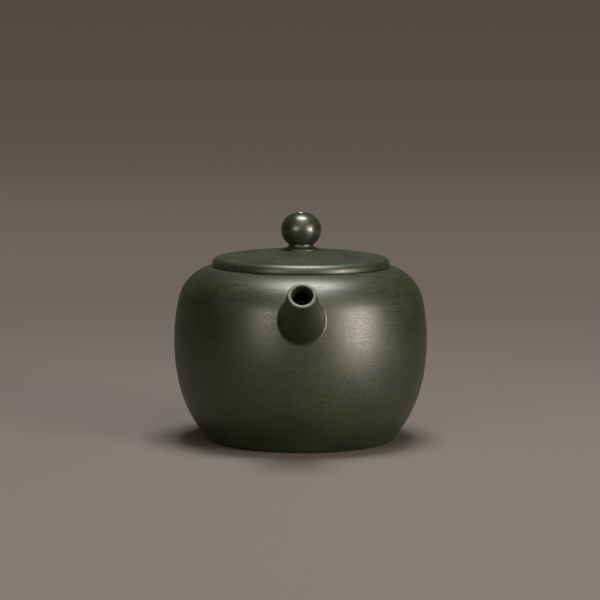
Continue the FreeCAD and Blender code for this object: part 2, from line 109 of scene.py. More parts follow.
@dataclass
class NodeBench:
    """Adds nodes to one tree and links them.

    Attributes:
        tree: The node tree that is being built.
    """

    tree: Tree

    @classmethod
    def group(cls, name: str, use: Use, inputs: Sockets, outputs: Sockets) -> "NodeBench":
        """Start a node group that has its own inputs and outputs.

        Args:
            name: The group's name.
            use: What the group makes.
            inputs: The names of its inputs of each kind.
            outputs: The names of its outputs of each kind.

        Returns:
            The bench for the new group.
        """
        tree = bpy.data.node_groups.new(name, use.value)
        for direction, sockets in (("INPUT", inputs), ("OUTPUT", outputs)):
            for kind, labels in sockets.items():
                for label in labels:
                    tree.interface.new_socket(label, in_out=direction, socket_type=kind.value)
        return cls(tree)

    def feed(self, node: Node, inputs: Feeds) -> None:
        """Feed a node's inputs.

        Args:
            node: The node.
            inputs: What feeds each input, which goes by its name or number: a value, an output,
                or another node for its first output.
        """
        for key, feed in inputs.items():
            source = feed.outputs[0] if isinstance(feed, Node) else feed
            if isinstance(source, Output):
                self.tree.links.new(source, node.inputs[key])
            else:
                node.inputs[key].default_value = source

    def add(self, kind: str, inputs: Feeds | None = None, **settings: object) -> Node:
        """Add a node with its settings, and feed its inputs.

        Args:
            kind: The node's type name.
            inputs: What feeds each input.
            **settings: The node's own properties.

        Returns:
            The new node.
        """
        node = self.tree.nodes.new(kind)
        for name, setting in settings.items():
            setattr(node, name, setting)
        self.feed(node, inputs or {})
        return node

    def maths(self, operation: str, first: Feed, second: Feed = 0.0, clamp: bool = False) -> Output:
        """Add one step of arithmetic.

        Args:
            operation: The name of the operation.
            first: What feeds the first number.
            second: What feeds the second number.
            clamp: Whether the result is kept between 0 and 1.

        Returns:
            The result.
        """
        numbers = {0: first, 1: second}
        return self.add("ShaderNodeMath", numbers, operation=operation, use_clamp=clamp).outputs[0]

    def weigh(self, parts: tuple[Output, ...], shares: tuple[float, ...]) -> Output:
        """Add several outputs up, each times its share.

        Args:
            parts: The outputs.
            shares: How much each of them counts.

        Returns:
            The sum.
        """
        total, *others = [self.maths("MULTIPLY", part, share) for part, share in zip(parts, shares)]
        for other in others:
            total = self.maths("ADD", total, other)
        return total

    def remap(
        self,
        value: Output,
        old: tuple[Feed, Feed],
        new: tuple[Feed, Feed] = (0.0, 1.0),
        curve: str = "LINEAR",
    ) -> Output:
        """Move a value from one range to another, and keep it inside.

        Args:
            value: The value.
            old: The range that it comes from.
            new: The range that it goes to.
            curve: How it runs between the ends.

        Returns:
            The moved value.
        """
        inputs = dict(enumerate((value, *old, *new)))
        return self.add("ShaderNodeMapRange", inputs, interpolation_type=curve).outputs[0]

    def blend(self, share: Output, first: Feed, second: Feed) -> Output:
        """Mix two colours.

        Args:
            share: How much of the second shows.
            first: What feeds the first colour.
            second: What feeds the second colour.

        Returns:
            The mixed colour.
        """
        # The node's sockets for colours go by number, because all its kinds share their names
        share_input, first_input, second_input, result = 0, 6, 7, 2
        inputs = {share_input: share, first_input: first, second_input: second}
        return self.add("ShaderNodeMix", inputs, data_type="RGBA").outputs[result]

    def noise(self, place: Feed, scale: Feed, detail: float, roughness: float) -> Output:
        """Add a cloudy pattern.

        Args:
            place: Where on the clay.
            scale: How many clouds there are to the metre.
            detail: How many finer layers it has.
            roughness: How strong those are.

        Returns:
            The pattern.
        """
        inputs = {"Vector": place, "Scale": scale, "Detail": detail, "Roughness": roughness}
        return self.add("ShaderNodeTexNoise", inputs).outputs["Fac"]

    def clad(self, shape: Node, clay: Output) -> Tree:
        """End a tree of shapes: make copies real, cover them with clay and pass them out.

        Args:
            shape: The finished shape.
            clay: Its material.

        Returns:
            The tree.
        """
        real = self.add("GeometryNodeRealizeInstances", {0: shape})
        clad = self.add("GeometryNodeSetMaterial", {"Geometry": real, "Material": clay})
        self.add("NodeGroupOutput", {"Shape": clad})
        return self.tree


def keep_result(obj: bpy.types.Object, modifier: bpy.types.Modifier) -> None:
    """Keep a modifier's result as the object's own mesh, and take the modifier off.

    Args:
        obj: The object.
        modifier: Its only modifier.
    """
    bpy.context.view_layer.update()
    shaped = obj.evaluated_get(bpy.context.evaluated_depsgraph_get())
    result = bpy.data.meshes.new_from_object(shaped)
    obj.modifiers.remove(modifier)
    obj.data = result
    result.name = obj.name


def run_tree(obj: bpy.types.Object, tree: Tree, values: dict[str, object]) -> None:
    """Run a Geometry Nodes tree on an object and keep its result as the object's own mesh.

    Args:
        obj: The object that holds the tree's input mesh.
        tree: The tree to run.
        values: A value for each of the tree's named inputs.
    """
    modifier = obj.modifiers.new(tree.name, "NODES")
    modifier.node_group = tree
    for item in tree.interface.items_tree:
        if item.in_out == "INPUT" and item.name in values:
            modifier[item.identifier] = values[item.name]
    keep_result(obj, modifier)


def new_object(name: str, points: list, edges: list, faces: list) -> bpy.types.Object:
    """Make a mesh object in the scene.

    Args:
        name: The object's name.
        points: The places of its points.
        edges: Pairs of point numbers.
        faces: Lists of point numbers.

    Returns:
        The new object.
    """
    mesh = bpy.data.meshes.new(name)
    mesh.from_pydata(points, edges, faces)
    obj = bpy.data.objects.new(name, mesh)
    bpy.context.scene.collection.objects.link(obj)
    return obj


def new_line(name: str, points: list) -> bpy.types.Object:
    """Make an object of one line through the points."""
    edges = [(number, number + 1) for number in range(len(points) - 1)]
    return new_object(name, points, edges, [])


def face_outwards(obj: bpy.types.Object) -> None:
    """Turn the faces of a closed mesh round if they point into the clay.

    Args:
        obj: The object that holds the mesh.
    """
    shell = bmesh.new()
    shell.from_mesh(obj.data)
    if shell.calc_volume(signed=True) < 0:
        bmesh.ops.reverse_faces(shell, faces=shell.faces)
        shell.to_mesh(obj.data)
    shell.free()


def grid_skin(name: str, rings: list[np.ndarray], clay: bpy.types.Material) -> bpy.types.Object:
    """Skin a row of rings whose last ring joins its first.

    Args:
        name: The object's name.
        rings: Closed rings with the same number of points.
        clay: The material.

    Returns:
        The closed, smooth-shaded object.
    """
    count = len(rings[0])
    faces = []
    for row in range(len(rings)):
        here, there = row * count, (row + 1) % len(rings) * count
        for column in range(count):
            beside = (column + 1) % count
            faces.append((here + column, here + beside, there + beside, there + column))
    obj = new_object(name, np.concatenate(rings).tolist(), [], faces)
    obj.data.materials.append(clay)
    obj.data.shade_smooth()
    obj.data.set_sharp_from_angle(angle=CREASE)
    face_outwards(obj)
    return obj


def upright_to(direction: Vector) -> Matrix:
    """The turn that takes the upright axis to a direction."""
    return Vector((0.0, 0.0, 1.0)).rotation_difference(direction).to_matrix().to_4x4()


def leg(slant: float, other: float) -> float:
    """The third side of a right-angled triangle, from its slant and its other side."""
    return math.sqrt(slant**2 - other**2)


def on_circle(centre: Place, radius: float, angle: float) -> Place:
    """The place on a circle at an angle above level."""
    return (centre[0] + radius * math.cos(angle), centre[1] + radius * math.sin(angle))


class Outline:
    """A section of a turned form: radii and heights, followed with the clay on the left."""

    def __init__(self, start: Place) -> None:
        """Start the section at a place."""
        self.places: list[Place] = [start]

    def line(self, *places: Place) -> "Outline":
        """Go straight to each place in turn."""
        self.places.extend(places)
        return self

    def arc(self, centre: Place, place: Place) -> "Outline":
        """Follow the shorter arc about a centre.

        Args:
            centre: The middle of the arc.
            place: Where the arc ends.

        Returns:
            The outline itself.
        """
        start = self.places[-1]
        radius = math.dist(start, centre)
        first = math.atan2(start[1] - centre[1], start[0] - centre[0])
        last = math.atan2(place[1] - centre[1], place[0] - centre[0])
        sweep = math.remainder(last - first, math.tau)
        turns, lengths = abs(sweep) / ARC_TURN, abs(sweep) * radius / ARC_STEP
        steps = max(2, math.ceil(turns), math.ceil(lengths))
        for step in range(1, steps):
            self.places.append(on_circle(centre, radius, first + sweep * step / steps))
        self.places.append(place)
        return self

    def soft(self, corner: Place, towards: Place, reach: float) -> "Outline":
        """Go round a softened corner.

        Args:
            corner: Where the two sides would meet.
            towards: Where the side after the corner leads.
            reach: How far from the corner the softening starts.

        Returns:
            The outline itself.
        """
        middle = Vector(corner)
        before = middle + (Vector(self.places[-1]) - middle).normalized() * reach
        after = middle + (Vector(towards) - middle).normalized() * reach
        for step in range(CORNER_POINTS):
            share = step / (CORNER_POINTS - 1)
            bend = before.lerp(middle, share).lerp(middle.lerp(after, share), share)
            self.places.append((bend.x, bend.y))
        return self


def lathe_tree() -> Tree:
    """Build the tree that turns a section about the upright axis.

    Returns:
        The tree, with inputs for the section, its rows and flats, the crease and the clay.
    """
    inputs = {
        Socket.SHAPE: ("Section",),
        Socket.COUNT: ("Segments", "Rows"),
        Socket.NUMBER: ("Crease", "Weld"),
        Socket.CLAY: ("Clay",),
    }
    bench = NodeBench.group("turned_clay", Use.SHAPE, inputs, {Socket.SHAPE: ("Shape",)})
    given = bench.add("NodeGroupInput").outputs
    columns = bench.maths("ADD", given["Segments"], 1)
    last_row = bench.maths("SUBTRACT", given["Rows"], 1)
    sheet = bench.add(
        "GeometryNodeMeshGrid",
        {"Size X": 1.0, "Size Y": 1.0, "Vertices X": columns, "Vertices Y": given["Rows"]},
    )
    place = bench.add("GeometryNodeInputPosition")
    across = bench.add("ShaderNodeSeparateXYZ", {0: place}).outputs
    # The sheet's middle is at 0, so half its size brings both its shares to run from 0 to 1
    round_share, row_share = (bench.maths("ADD", across[axis], 0.5) for axis in ("X", "Y"))
    angle = bench.maths("MULTIPLY", round_share, math.tau)
    row = bench.maths("ROUND", bench.maths("MULTIPLY", row_share, last_row))
    sizes = bench.add("GeometryNodeAttributeDomainSize", {0: given["Section"]}).outputs
    index = bench.maths("MODULO", row, sizes["Point Count"])
    sample = bench.add(
        "GeometryNodeSampleIndex",
        {"Geometry": given["Section"], "Value": place, "Index": index},
        data_type="FLOAT_VECTOR",
    )
    section = bench.add("ShaderNodeSeparateXYZ", {0: sample.outputs["Value"]}).outputs
    turned = bench.add(
        "ShaderNodeCombineXYZ",
        {
            "X": bench.maths("MULTIPLY", section["X"], bench.maths("COSINE", angle)),
            "Y": bench.maths("MULTIPLY", section["X"], bench.maths("SINE", angle)),
            "Z": section["Z"],
        },
    )
    moved = bench.add("GeometryNodeSetPosition", {"Geometry": sheet, "Position": turned})
    weld = {"Geometry": moved, "Distance": given["Weld"]}
    welded = bench.add("GeometryNodeMergeByDistance", weld)
    smooth = bench.add("GeometryNodeSetShadeSmooth", {"Geometry": welded, "Shade Smooth": True})
    fold = bench.add("GeometryNodeInputMeshEdgeAngle").outputs["Unsigned Angle"]
    sharp = bench.maths("GREATER_THAN", fold, given["Crease"])
    crisp = bench.add(
        "GeometryNodeSetShadeSmooth",
        {"Geometry": smooth, "Selection": sharp, "Shade Smooth": False},
        domain="EDGE",
    )
    return bench.clad(crisp, given["Clay"])


def pierced_tree() -> Tree:
    """Build the tree that drills rings of holes through a dome, square to its surface.

    Returns:
        The tree, with inputs for the dome, the drill and the two rings.
    """
    inputs = {
        Socket.SHAPE: ("Dome",),
        Socket.NUMBER: ("Reach", "Hole radius", "Inner angle", "Outer angle"),
        Socket.COUNT: ("Hole sides", "Inner count", "Outer count"),
        Socket.CLAY: ("Clay",),
    }
    bench = NodeBench.group("pierced_dome", Use.SHAPE, inputs, {Socket.SHAPE: ("Shape",)})
    given = bench.add("NodeGroupInput").outputs
    drill = bench.add(
        "GeometryNodeMeshCylinder",
        {
            "Vertices": given["Hole sides"],
            "Radius": given["Hole radius"],
            "Depth": given["Reach"],
        },
    )
    join = bench.add("GeometryNodeJoinGeometry")
    rings = (
        (given["Inner angle"], given["Inner count"]),
        (given["Outer angle"], given["Outer count"]),
        (0.0, 1),
    )
    for lean, count in rings:
        ring_radius = bench.maths("MULTIPLY", given["Reach"], bench.maths("SINE", lean))
        ring_height = bench.maths("MULTIPLY", given["Reach"], bench.maths("COSINE", lean))
        lift = bench.add("ShaderNodeCombineXYZ", {"Z": ring_height})
        if count == 1:
            ring = bench.add("GeometryNodePoints", {"Count": count, "Position": lift})
        else:
            ring = bench.add("GeometryNodeMeshCircle", {"Vertices": count, "Radius": ring_radius})
            ring = bench.add("GeometryNodeTransform", {"Geometry": ring, "Translation": lift})
        spoke = bench.add("GeometryNodeInputPosition")
        square = bench.add("FunctionNodeAlignRotationToVector", {"Vector": spoke}, axis="Z")
        drills = bench.add(
            "GeometryNodeInstanceOnPoints",
            {"Points": ring, "Instance": drill, "Rotation": square},
        )
        bench.feed(join, {0: drills})
    holes = bench.add("GeometryNodeRealizeInstances", {0: join})
    cut = bench.add(
        "GeometryNodeMeshBoolean",
        {"Mesh 1": given["Dome"], "Mesh 2": holes},
        operation="DIFFERENCE",
        solver="EXACT",
    )
    return bench.clad(cut, given["Clay"])


def loop_tree() -> Tree:
    """Build the tree that rolls a tapered coil of clay along a line and flares both its ends.

    Returns:
        The tree, with inputs for the line, the taper, the flare and the clay.
    """
    inputs = {
        Socket.SHAPE: ("Line",),
        Socket.NUMBER: ("First radius", "Last radius", "Lute", "Lute length", "Lute power"),
        Socket.COUNT: ("Rings", "Sides"),
        Socket.CLAY: ("Clay",),
    }
    bench = NodeBench.group("luted_loop", Use.SHAPE, inputs, {Socket.SHAPE: ("Shape",)})
    given = bench.add("NodeGroupInput").outputs
    line = bench.add("GeometryNodeMeshToCurve", {"Mesh": given["Line"]})
    even = bench.add("GeometryNodeResampleCurve", {"Curve": line, "Count": given["Rings"]})
    along = bench.add("GeometryNodeSplineParameter").outputs
    whole = bench.add("GeometryNodeSplineLength").outputs["Length"]
    taper = bench.maths("SUBTRACT", given["Last radius"], given["First radius"])
    taper = bench.maths("MULTIPLY", along["Factor"], taper)
    radius = bench.maths("ADD", given["First radius"], taper)
    for from_end in (along["Length"], bench.maths("SUBTRACT", whole, along["Length"])):
        spent = bench.maths("DIVIDE", from_end, given["Lute length"])
        left = bench.maths("SUBTRACT", 1.0, spent, clamp=True)
        flare = bench.maths("POWER", left, given["Lute power"])
        radius = bench.maths("ADD", radius, bench.maths("MULTIPLY", flare, given["Lute"]))
    sides = {"Resolution": given["Sides"], "Radius": 1.0}
    coil = bench.add("GeometryNodeCurvePrimitiveCircle", sides)
    tube = bench.add(
        "GeometryNodeCurveToMesh",
        {"Curve": even, "Profile Curve": coil, "Scale": radius, "Fill Caps": True},
    )
    smooth = bench.add("GeometryNodeSetShadeSmooth", {"Geometry": tube, "Shade Smooth": True})
    return bench.clad(smooth, given["Clay"])


@dataclass(frozen=True)
class Piece:
    """One finished piece, what it rides on and which finish it has."""

    obj: bpy.types.Object
    body: Body
    slot: Slot

    def settle(self) -> None:
        """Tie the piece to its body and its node."""
        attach(self.obj, self.body.value)
        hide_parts(self.obj.name.removesuffix("_clay"))
        LOG.info("%s: %d faces on %s", self.obj.name, len(self.obj.data.polygons), self.body.value)


@dataclass
class Workshop:
    """The trees that shape the clay and the finishes that cover it.

    Attributes:
        clays: The material for each slot.
        lathe: The tree for turned forms.
        pierced: The tree for the strainer's holes.
        loop: The tree for the handle.
    """

    clays: dict[Slot, bpy.types.Material]
    lathe: Tree = field(default_factory=lathe_tree)
    pierced: Tree = field(default_factory=pierced_tree)
    loop: Tree = field(default_factory=loop_tree)

    def turn(
        self,
        name: str,
        outline: Outline,
        body: Body,
        slot: Slot,
        segments: int,
        section: Section = Section.RING,
    ) -> Piece:
        """Turn a section into a closed piece.

        Args:
            name: The object's name.
            outline: The section.
            body: What the piece rides on.
            slot: The finish it gets.
            segments: How many flats go round it.
            section: Whether the section is a ring's or a disc's.

        Returns:
            The turned piece.
        """
        places = outline.places
        ring = section is Section.RING
        if ring and math.dist(places[0], places[-1]) < WELD:
            places = places[:-1]
        obj = new_line(name, [(radius, 0.0, height) for radius, height in places])
        values = {
            "Segments": segments,
            "Rows": len(places) + (1 if ring else 0),
            "Crease": CREASE,
            "Weld": WELD,
            "Clay": self.clays[slot],
        }
        run_tree(obj, self.lathe, values)
        face_outwards(obj)
        return Piece(obj, body, slot)


@dataclass(frozen=True)
class PotForm:
    """The pot's outside and inside: arcs that run smoothly into each other.

    Attributes:
        belly_radius: The pot's radius at its widest line.
        belly_height: The height of that line.
        belly_arc: The radius of the belly's arc.
        belly_top_angle: How far up the belly's arc the shoulder's takes over.
        belly_low_angle: How far down the belly's arc the lower one takes over.
        shoulder_arc: The radius of the shoulder's arc.
        lower_arc: The radius of the arc between the belly and the foot.
        foot_arc: The radius of the foot's round.
        wall: The thickness of the clay.
        floor_thickness: The thickness of the floor slab.
        foot_width: The width of the flat ring that the pot stands on.
        foot_recess: How far the floor slab's edge is above the table.
        base_dish: How far the slab's underside is dished.
        seam_drop: How far below the shoulder's crown the top slab meets the wall.
        land_drop: How far below the crown the land lies.
        land_width: The width of the land.
        ring_width: The width of the mouth ring.
        ring_depth: How far the mouth ring reaches down.
    """

    belly_radius: float = 46.0 * MM
    belly_height: float = 36.5 * MM
    belly_arc: float = 71.8 * MM
    belly_top_angle: float = math.radians(12.0)
    belly_low_angle: float = math.radians(11.7)
    shoulder_arc: float = 15.6 * MM
    lower_arc: float = 46.5 * MM
    foot_arc: float = 4.2 * MM
    wall: float = 2.8 * MM
    floor_thickness: float = 3.2 * MM
    foot_width: float = 3.6 * MM
    foot_recess: float = 1.0 * MM
    base_dish: float = 0.6 * MM
    seam_drop: float = 4.6 * MM
    land_drop: float = 0.48 * MM
    land_width: float = 6.0 * MM
    ring_width: float = 3.5 * MM
    ring_depth: float = 4.0 * MM

    @property
    def belly_centre(self) -> Place:
        """The middle of the belly's arc."""
        return (self.belly_radius - self.belly_arc, self.belly_height)

    def on_belly(self, angle: float, depth: float = 0.0) -> Place:
        """The place on the belly at an angle above its widest line, some depth into the clay."""
        return on_circle(self.belly_centre, self.belly_arc - depth, angle)

    @property
    def shoulder_centre(self) -> Place:
        """The middle of the shoulder's arc."""
        return self.on_belly(self.belly_top_angle, self.shoulder_arc)

    @property
    def lower_centre(self) -> Place:
        """The middle of the lower arc."""
        return self.on_belly(-self.belly_low_angle, self.lower_arc)

    @property
    def foot_radius(self) -> float:
        """The radius where the rounded foot meets the table."""
        rise = self.lower_centre[1] - self.foot_arc
        return self.lower_centre[0] + leg(self.lower_arc - self.foot_arc, rise)

    @property
    def foot_side(self) -> Place:
        """Where the foot's round runs into the lower arc."""
        share = self.lower_arc / (self.lower_arc - self.foot_arc)
        centre = self.lower_centre
        return (
            centre[0] + (self.foot_radius - centre[0]) * share,
            centre[1] + (self.foot_arc - centre[1]) * share,
        )

    @property
    def disc_radius(self) -> float:
        """The radius of the floor slab."""
        return self.foot_radius - self.foot_width

    @property
    def floor_top(self) -> float:
        """The height of the floor inside the pot."""
        return self.foot_recess + self.floor_thickness

    @property
    def mouth_height(self) -> float:
        """The height of the land that the lid lies on."""
        return self.shoulder_centre[1] + self.shoulder_arc - self.land_drop

    @property
    def seam_height(self) -> float:
        """The height where the top slab meets the wall."""
        return self.shoulder_centre[1] + self.shoulder_arc - self.seam_drop

    def on_shoulder(self, height: float, depth: float = 0.0) -> Place:
        """The place on the shoulder at a height, some depth into the clay."""
        rise = height - self.shoulder_centre[1]
        return (self.shoulder_centre[0] + leg(self.shoulder_arc - depth, rise), height)

    @property
    def land_radius(self) -> float:
        """The outer radius of the land."""
        return self.on_shoulder(self.mouth_height)[0]

    @property
    def mouth_radius(self) -> float:
        """The radius of the open mouth."""
        return self.land_radius - self.land_width

    @property
    def ring_radius(self) -> float:
        """The radius where the mouth ring meets the top slab."""
        return self.mouth_radius + self.ring_width

    def outside(self, heights: np.ndarray) -> np.ndarray:
        """Find how wide the pot is, above the foot's round.

        Args:
            heights: Any heights.

        Returns:
            The outer radius at each height.
        """
        stretches = (
            (self.belly_centre, self.belly_arc),
            (self.shoulder_centre, self.shoulder_arc),
            (self.lower_centre, self.lower_arc),
        )
        radii = []
        for centre, radius in stretches:
            square = np.maximum(radius**2 - (heights - centre[1]) ** 2, 0.0)
            radii.append(centre[0] + np.sqrt(square))
        belly, shoulder, lower = radii
        top = self.on_belly(self.belly_top_angle)[1]
        low = self.on_belly(-self.belly_low_angle)[1]
        return np.where(heights > top, shoulder, np.where(heights < low, lower, belly))

    def normals(self, points: np.ndarray) -> np.ndarray:
        """Find which way the wall faces.

        Args:
            points: Points on the belly or the shoulder.

        Returns:
            The outward normal at each point.
        """
        radii = np.hypot(points[:, 0], points[:, 1])
        high = points[:, 2] > self.on_belly(self.belly_top_angle)[1]
        centre_radius = np.where(high, self.shoulder_centre[0], self.belly_centre[0])
        centre_height = np.where(high, self.shoulder_centre[1], self.belly_centre[1])
        outwards = (radii - centre_radius)[:, None] * points[:, :2] / radii[:, None]
        normals = np.column_stack([outwards, points[:, 2] - centre_height])
        return normals / np.linalg.norm(normals, axis=1)[:, None]


@dataclass
class PotShell:
    """The floor slab, the wall, the top slab and the mouth ring.

    Attributes:
        form: The pot's arcs.
        shop: The trees and clays.
        foot_round: Softening of the foot's inner edge.
        ring_round: Softening of the mouth ring's edges.
        land_round: Softening of the land's outer edge.
        segments: Flats round each piece.
    """

    form: PotForm
    shop: Workshop
    foot_round: float = 0.5 * MM
    ring_round: float = 0.7 * MM
    land_round: float = 0.9 * MM
    segments: int = 288

    def base_disc(self) -> Piece:
        """Turn the floor slab with its dished underside.

        Returns:
            The slab.
        """
        form = self.form
        dish_radius = (form.disc_radius**2 + form.base_dish**2) / (2 * form.base_dish)
        dish_top = form.foot_recess + form.base_dish
        outline = Outline((0.0, dish_top))
        outline.arc((0.0, dish_top - dish_radius), (form.disc_radius, form.foot_recess))
        outline.line((form.disc_radius, form.floor_top), (0.0, form.floor_top))
        return self.shop.turn(
            "base_disc_clay", outline, Body.POT, Slot.BARE, self.segments, Section.DISC
        )

    def body_wall(self, drill: bpy.types.Object) -> Piece:
        """Turn the wall and drill the hole behind the spout.

        Args:
            drill: A cylinder along the spout, which is used up.

        Returns:
            The wall.
        """
        form = self.form
        foot = (form.foot_radius, 0.0)
        rise = form.lower_centre[1] - form.floor_top
        floor_edge = form.lower_centre[0] + leg(form.lower_arc - form.wall, rise)
        outline = Outline((form.disc_radius, form.floor_top))
        outline.soft((form.disc_radius, 0.0), foot, self.foot_round).line(foot)
        outline.arc((form.foot_radius, form.foot_arc), form.foot_side)
        outline.arc(form.lower_centre, form.on_belly(-form.belly_low_angle))
        outline.arc(form.belly_centre, form.on_belly(form.belly_top_angle))
        outline.arc(form.shoulder_centre, form.on_shoulder(form.seam_height))
        outline.line(form.on_shoulder(form.seam_height, form.wall))
        outline.arc(form.shoulder_centre, form.on_belly(form.belly_top_angle, form.wall))
        outline.arc(form.belly_centre, form.on_belly(-form.belly_low_angle, form.wall))
        outline.arc(form.lower_centre, (floor_edge, form.floor_top))
        wall = self.shop.turn("body_wall_clay", outline, Body.POT, Slot.BURNISHED, self.segments)
        cut = wall.obj.modifiers.new("spout_hole", "BOOLEAN")
        cut.operation = "DIFFERENCE"
        cut.object = drill
        cut.solver = "EXACT"
        keep_result(wall.obj, cut)
        bpy.data.objects.remove(drill)
        return wall

    def shoulder_disc(self) -> Piece:
        """Turn what is left of the top slab round the mouth.

        Returns:
            The slab.
        """
        form = self.form
        inner = form.on_shoulder(form.seam_height, form.wall)
        land = (form.land_radius, form.mouth_height)
        reach = form.ring_radius - form.shoulder_centre[0]
        under = form.shoulder_centre[1] + leg(form.shoulder_arc - form.wall, reach)
        before_land = form.on_shoulder(form.mouth_height - form.land_drop)
        ring_top = (form.ring_radius, form.mouth_height)
        outline = Outline(inner).line(form.on_shoulder(form.seam_height))
        outline.arc(form.shoulder_centre, before_land).soft(land, ring_top, self.land_round)
        outline.line(ring_top, (form.ring_radius, under)).arc(form.shoulder_centre, inner)
        return self.shop.turn(
            "shoulder_disc_clay", outline, Body.POT, Slot.BURNISHED, self.segments
        )

    def mouth_ring(self) -> Piece:
        """Turn the ring luted into the mouth.

        Returns:
            The ring.
        """
        inner, outer, reach = self.form.mouth_radius, self.form.ring_radius, self.ring_round
        high = self.form.mouth_height
        low = high - self.form.ring_depth
        outline = Outline((inner, (low + high) / 2)).soft((inner, low), (outer, low), reach)
        outline.soft((outer, low), (outer, high), reach).line((outer, high))
        outline.soft((inner, high), (inner, low), reach)
        return self.shop.turn("mouth_ring_clay", outline, Body.POT, Slot.BARE, self.segments)


@dataclass
class PouringSide:
    """The spout and the strainer behind it.

    Attributes:
        form: The pot's arcs.
        shop: The trees and clays.
        rise: How far above the pot's widest line the spout's middle line leaves the wall.
        tilt: The slope of that line.
        length: From the wall to the middle of the lip.
        base_radius: The outer radius at the end of the overrun.
        tip_radius: The outer radius at the end of the trim.
        flare: The radius of the arc that the outside follows.
        bore_root: The bore's radius at the wall.
        bore_tip: The bore's radius at the end of the trim.
        lip_tilt: How far the lip slants.
        lip_trim: How far past the lip the spout reached before it was cut.
        lip_round: The radius of the lip's edges.
        throat: How much the bore narrows behind the lip.
        throat_depth: How far behind the lip it is narrowest.
        throat_length: How far from there it takes to open again.
        overrun: How far inside the wall the spout's lines start.
        lute: How far the joint's round reaches over the wall and up the spout.
        sides: Flats round the spout.
        halvings: Steps of the search for the wall.
        strainer_radius: The dome's outer radius.
        strainer_wall: The dome's thickness.
        strainer_sink: How far the dome's edge reaches into the wall.
        hole_radius: The radius of its holes.
        hole_sides: Flats round a hole.
        inner_angle: How far the inner ring of holes leans from the dome's axis.
        inner_count: How many holes it has.
        outer_angle: How far the outer ring leans.
        outer_count: How many holes it has.
    """

    form: PotForm
    shop: Workshop
    rise: float = 13.0 * MM
    tilt: float = math.radians(27.2)
    length: float = 22.3 * MM
    base_radius: float = 9.58 * MM
    tip_radius: float = 4.8 * MM
    flare: float = 250.0 * MM
    bore_root: float = 6.2 * MM
    bore_tip: float = 3.5 * MM
    lip_tilt: float = math.radians(11.3)
    lip_trim: float = 2.0 * MM
    lip_round: float = 0.25 * MM
    throat: float = 1.1 * MM
    throat_depth: float = 4.0 * MM
    throat_length: float = 10.0 * MM
    overrun: float = 8.0 * MM
    lute: float = 0.85 * MM
    sides: int = 192
    halvings: int = 40
    strainer_radius: float = 9.0 * MM
    strainer_wall: float = 1.6 * MM
    strainer_sink: float = 1.0 * MM
    hole_radius: float = 0.85 * MM
    hole_sides: int = 24
    inner_angle: float = math.radians(27.0)
    inner_count: int = 6
    outer_angle: float = math.radians(53.0)
    outer_count: int = 12

    def __post_init__(self) -> None:
        """Work out the spout's own directions and its root on the wall."""
        self.lean = math.asin(self.rise / self.form.belly_arc)
        out, up = self.form.on_belly(self.lean)
        self.root = np.array([0.0, -out, up])
        self.along = np.array([0.0, -math.cos(self.tilt), math.sin(self.tilt)])
        upwards = np.array([0.0, math.sin(self.tilt), math.cos(self.tilt)])
        sideways = np.array([1.0, 0.0, 0.0])
        turns = np.arange(self.sides) * math.tau / self.sides
        self.height_share = np.sin(turns)
        self.spokes = np.cos(turns)[:, None] * sideways + self.height_share[:, None] * upwards

    def outer_radius(self, reach: np.ndarray) -> np.ndarray:
        """Find how thick the spout is.

        Args:
            reach: Distances from the root along the middle line.

        Returns:
            The outer radius at each distance.
        """
        first = np.array([-self.overrun, self.base_radius])
        last = np.array([self.length + self.lip_trim, self.tip_radius])
        chord = last - first
        half = np.linalg.norm(chord) / 2
        outwards = np.array([-chord[1], chord[0]]) / (2 * half)
        centre = (first + last) / 2 + outwards * leg(self.flare, half)
        return centre[1] - np.sqrt(self.flare**2 - (reach - centre[0]) ** 2)

    def bore_radius(self, reach: np.ndarray) -> np.ndarray:
        """The bore's radius at each distance from the root."""
        share = np.clip(reach / (self.length + self.lip_trim), 0.0, 1.0)
        return self.bore_root + (self.bore_tip - self.bore_root) * share

    def throat_radius(self, reach: np.ndarray, lip: np.ndarray) -> np.ndarray:
        """The bore's radius with the soft narrow throat behind the lip.

        Args:
            reach: The distance from the root.
            lip: How far from the root the bore begins, for each spoke.

        Returns:
            The radius, for each spoke.
        """
        depth = lip - reach
        opening = np.clip(1 - depth / self.throat_depth, 0.0, 1.0)
        behind = np.clip((depth - self.throat_depth) / self.throat_length, 0.0, 1.0)
        squeeze = (1 - opening**2) * (1 - behind**2 * (3 - 2 * behind))
        return self.bore_radius(reach) - self.throat * squeeze

    def points(self, reach: np.ndarray, radius: np.ndarray) -> np.ndarray:
        """Points round the spout at a distance along it and a radius from its middle line."""
        return self.root + reach[:, None] * self.along + radius[:, None] * self.spokes

    def meets_wall(self, radius_at: Callable[[np.ndarray], np.ndarray]) -> np.ndarray:
        """Find where each line along a tube comes out of the wall.

        Args:
            radius_at: The tube's radius as a function of the distance along it.

        Returns:
            The distance along the tube, for each spoke.
        """
        low, high = np.full(self.sides, -self.overrun), np.full(self.sides, self.length)
        for _ in range(self.halvings):
            middle = (low + high) / 2
            places = self.points(middle, radius_at(middle))
            inside = np.hypot(places[:, 0], places[:, 1]) < self.form.outside(places[:, 2])
            low, high = np.where(inside, middle, low), np.where(inside, high, middle)
        return (low + high) / 2

    def lip_reach(self, radius: np.ndarray) -> np.ndarray:
        """How far along the spout the slanted lip lies, at a radius from its middle line."""
        return self.length - self.height_share * radius * math.tan(self.lip_tilt)

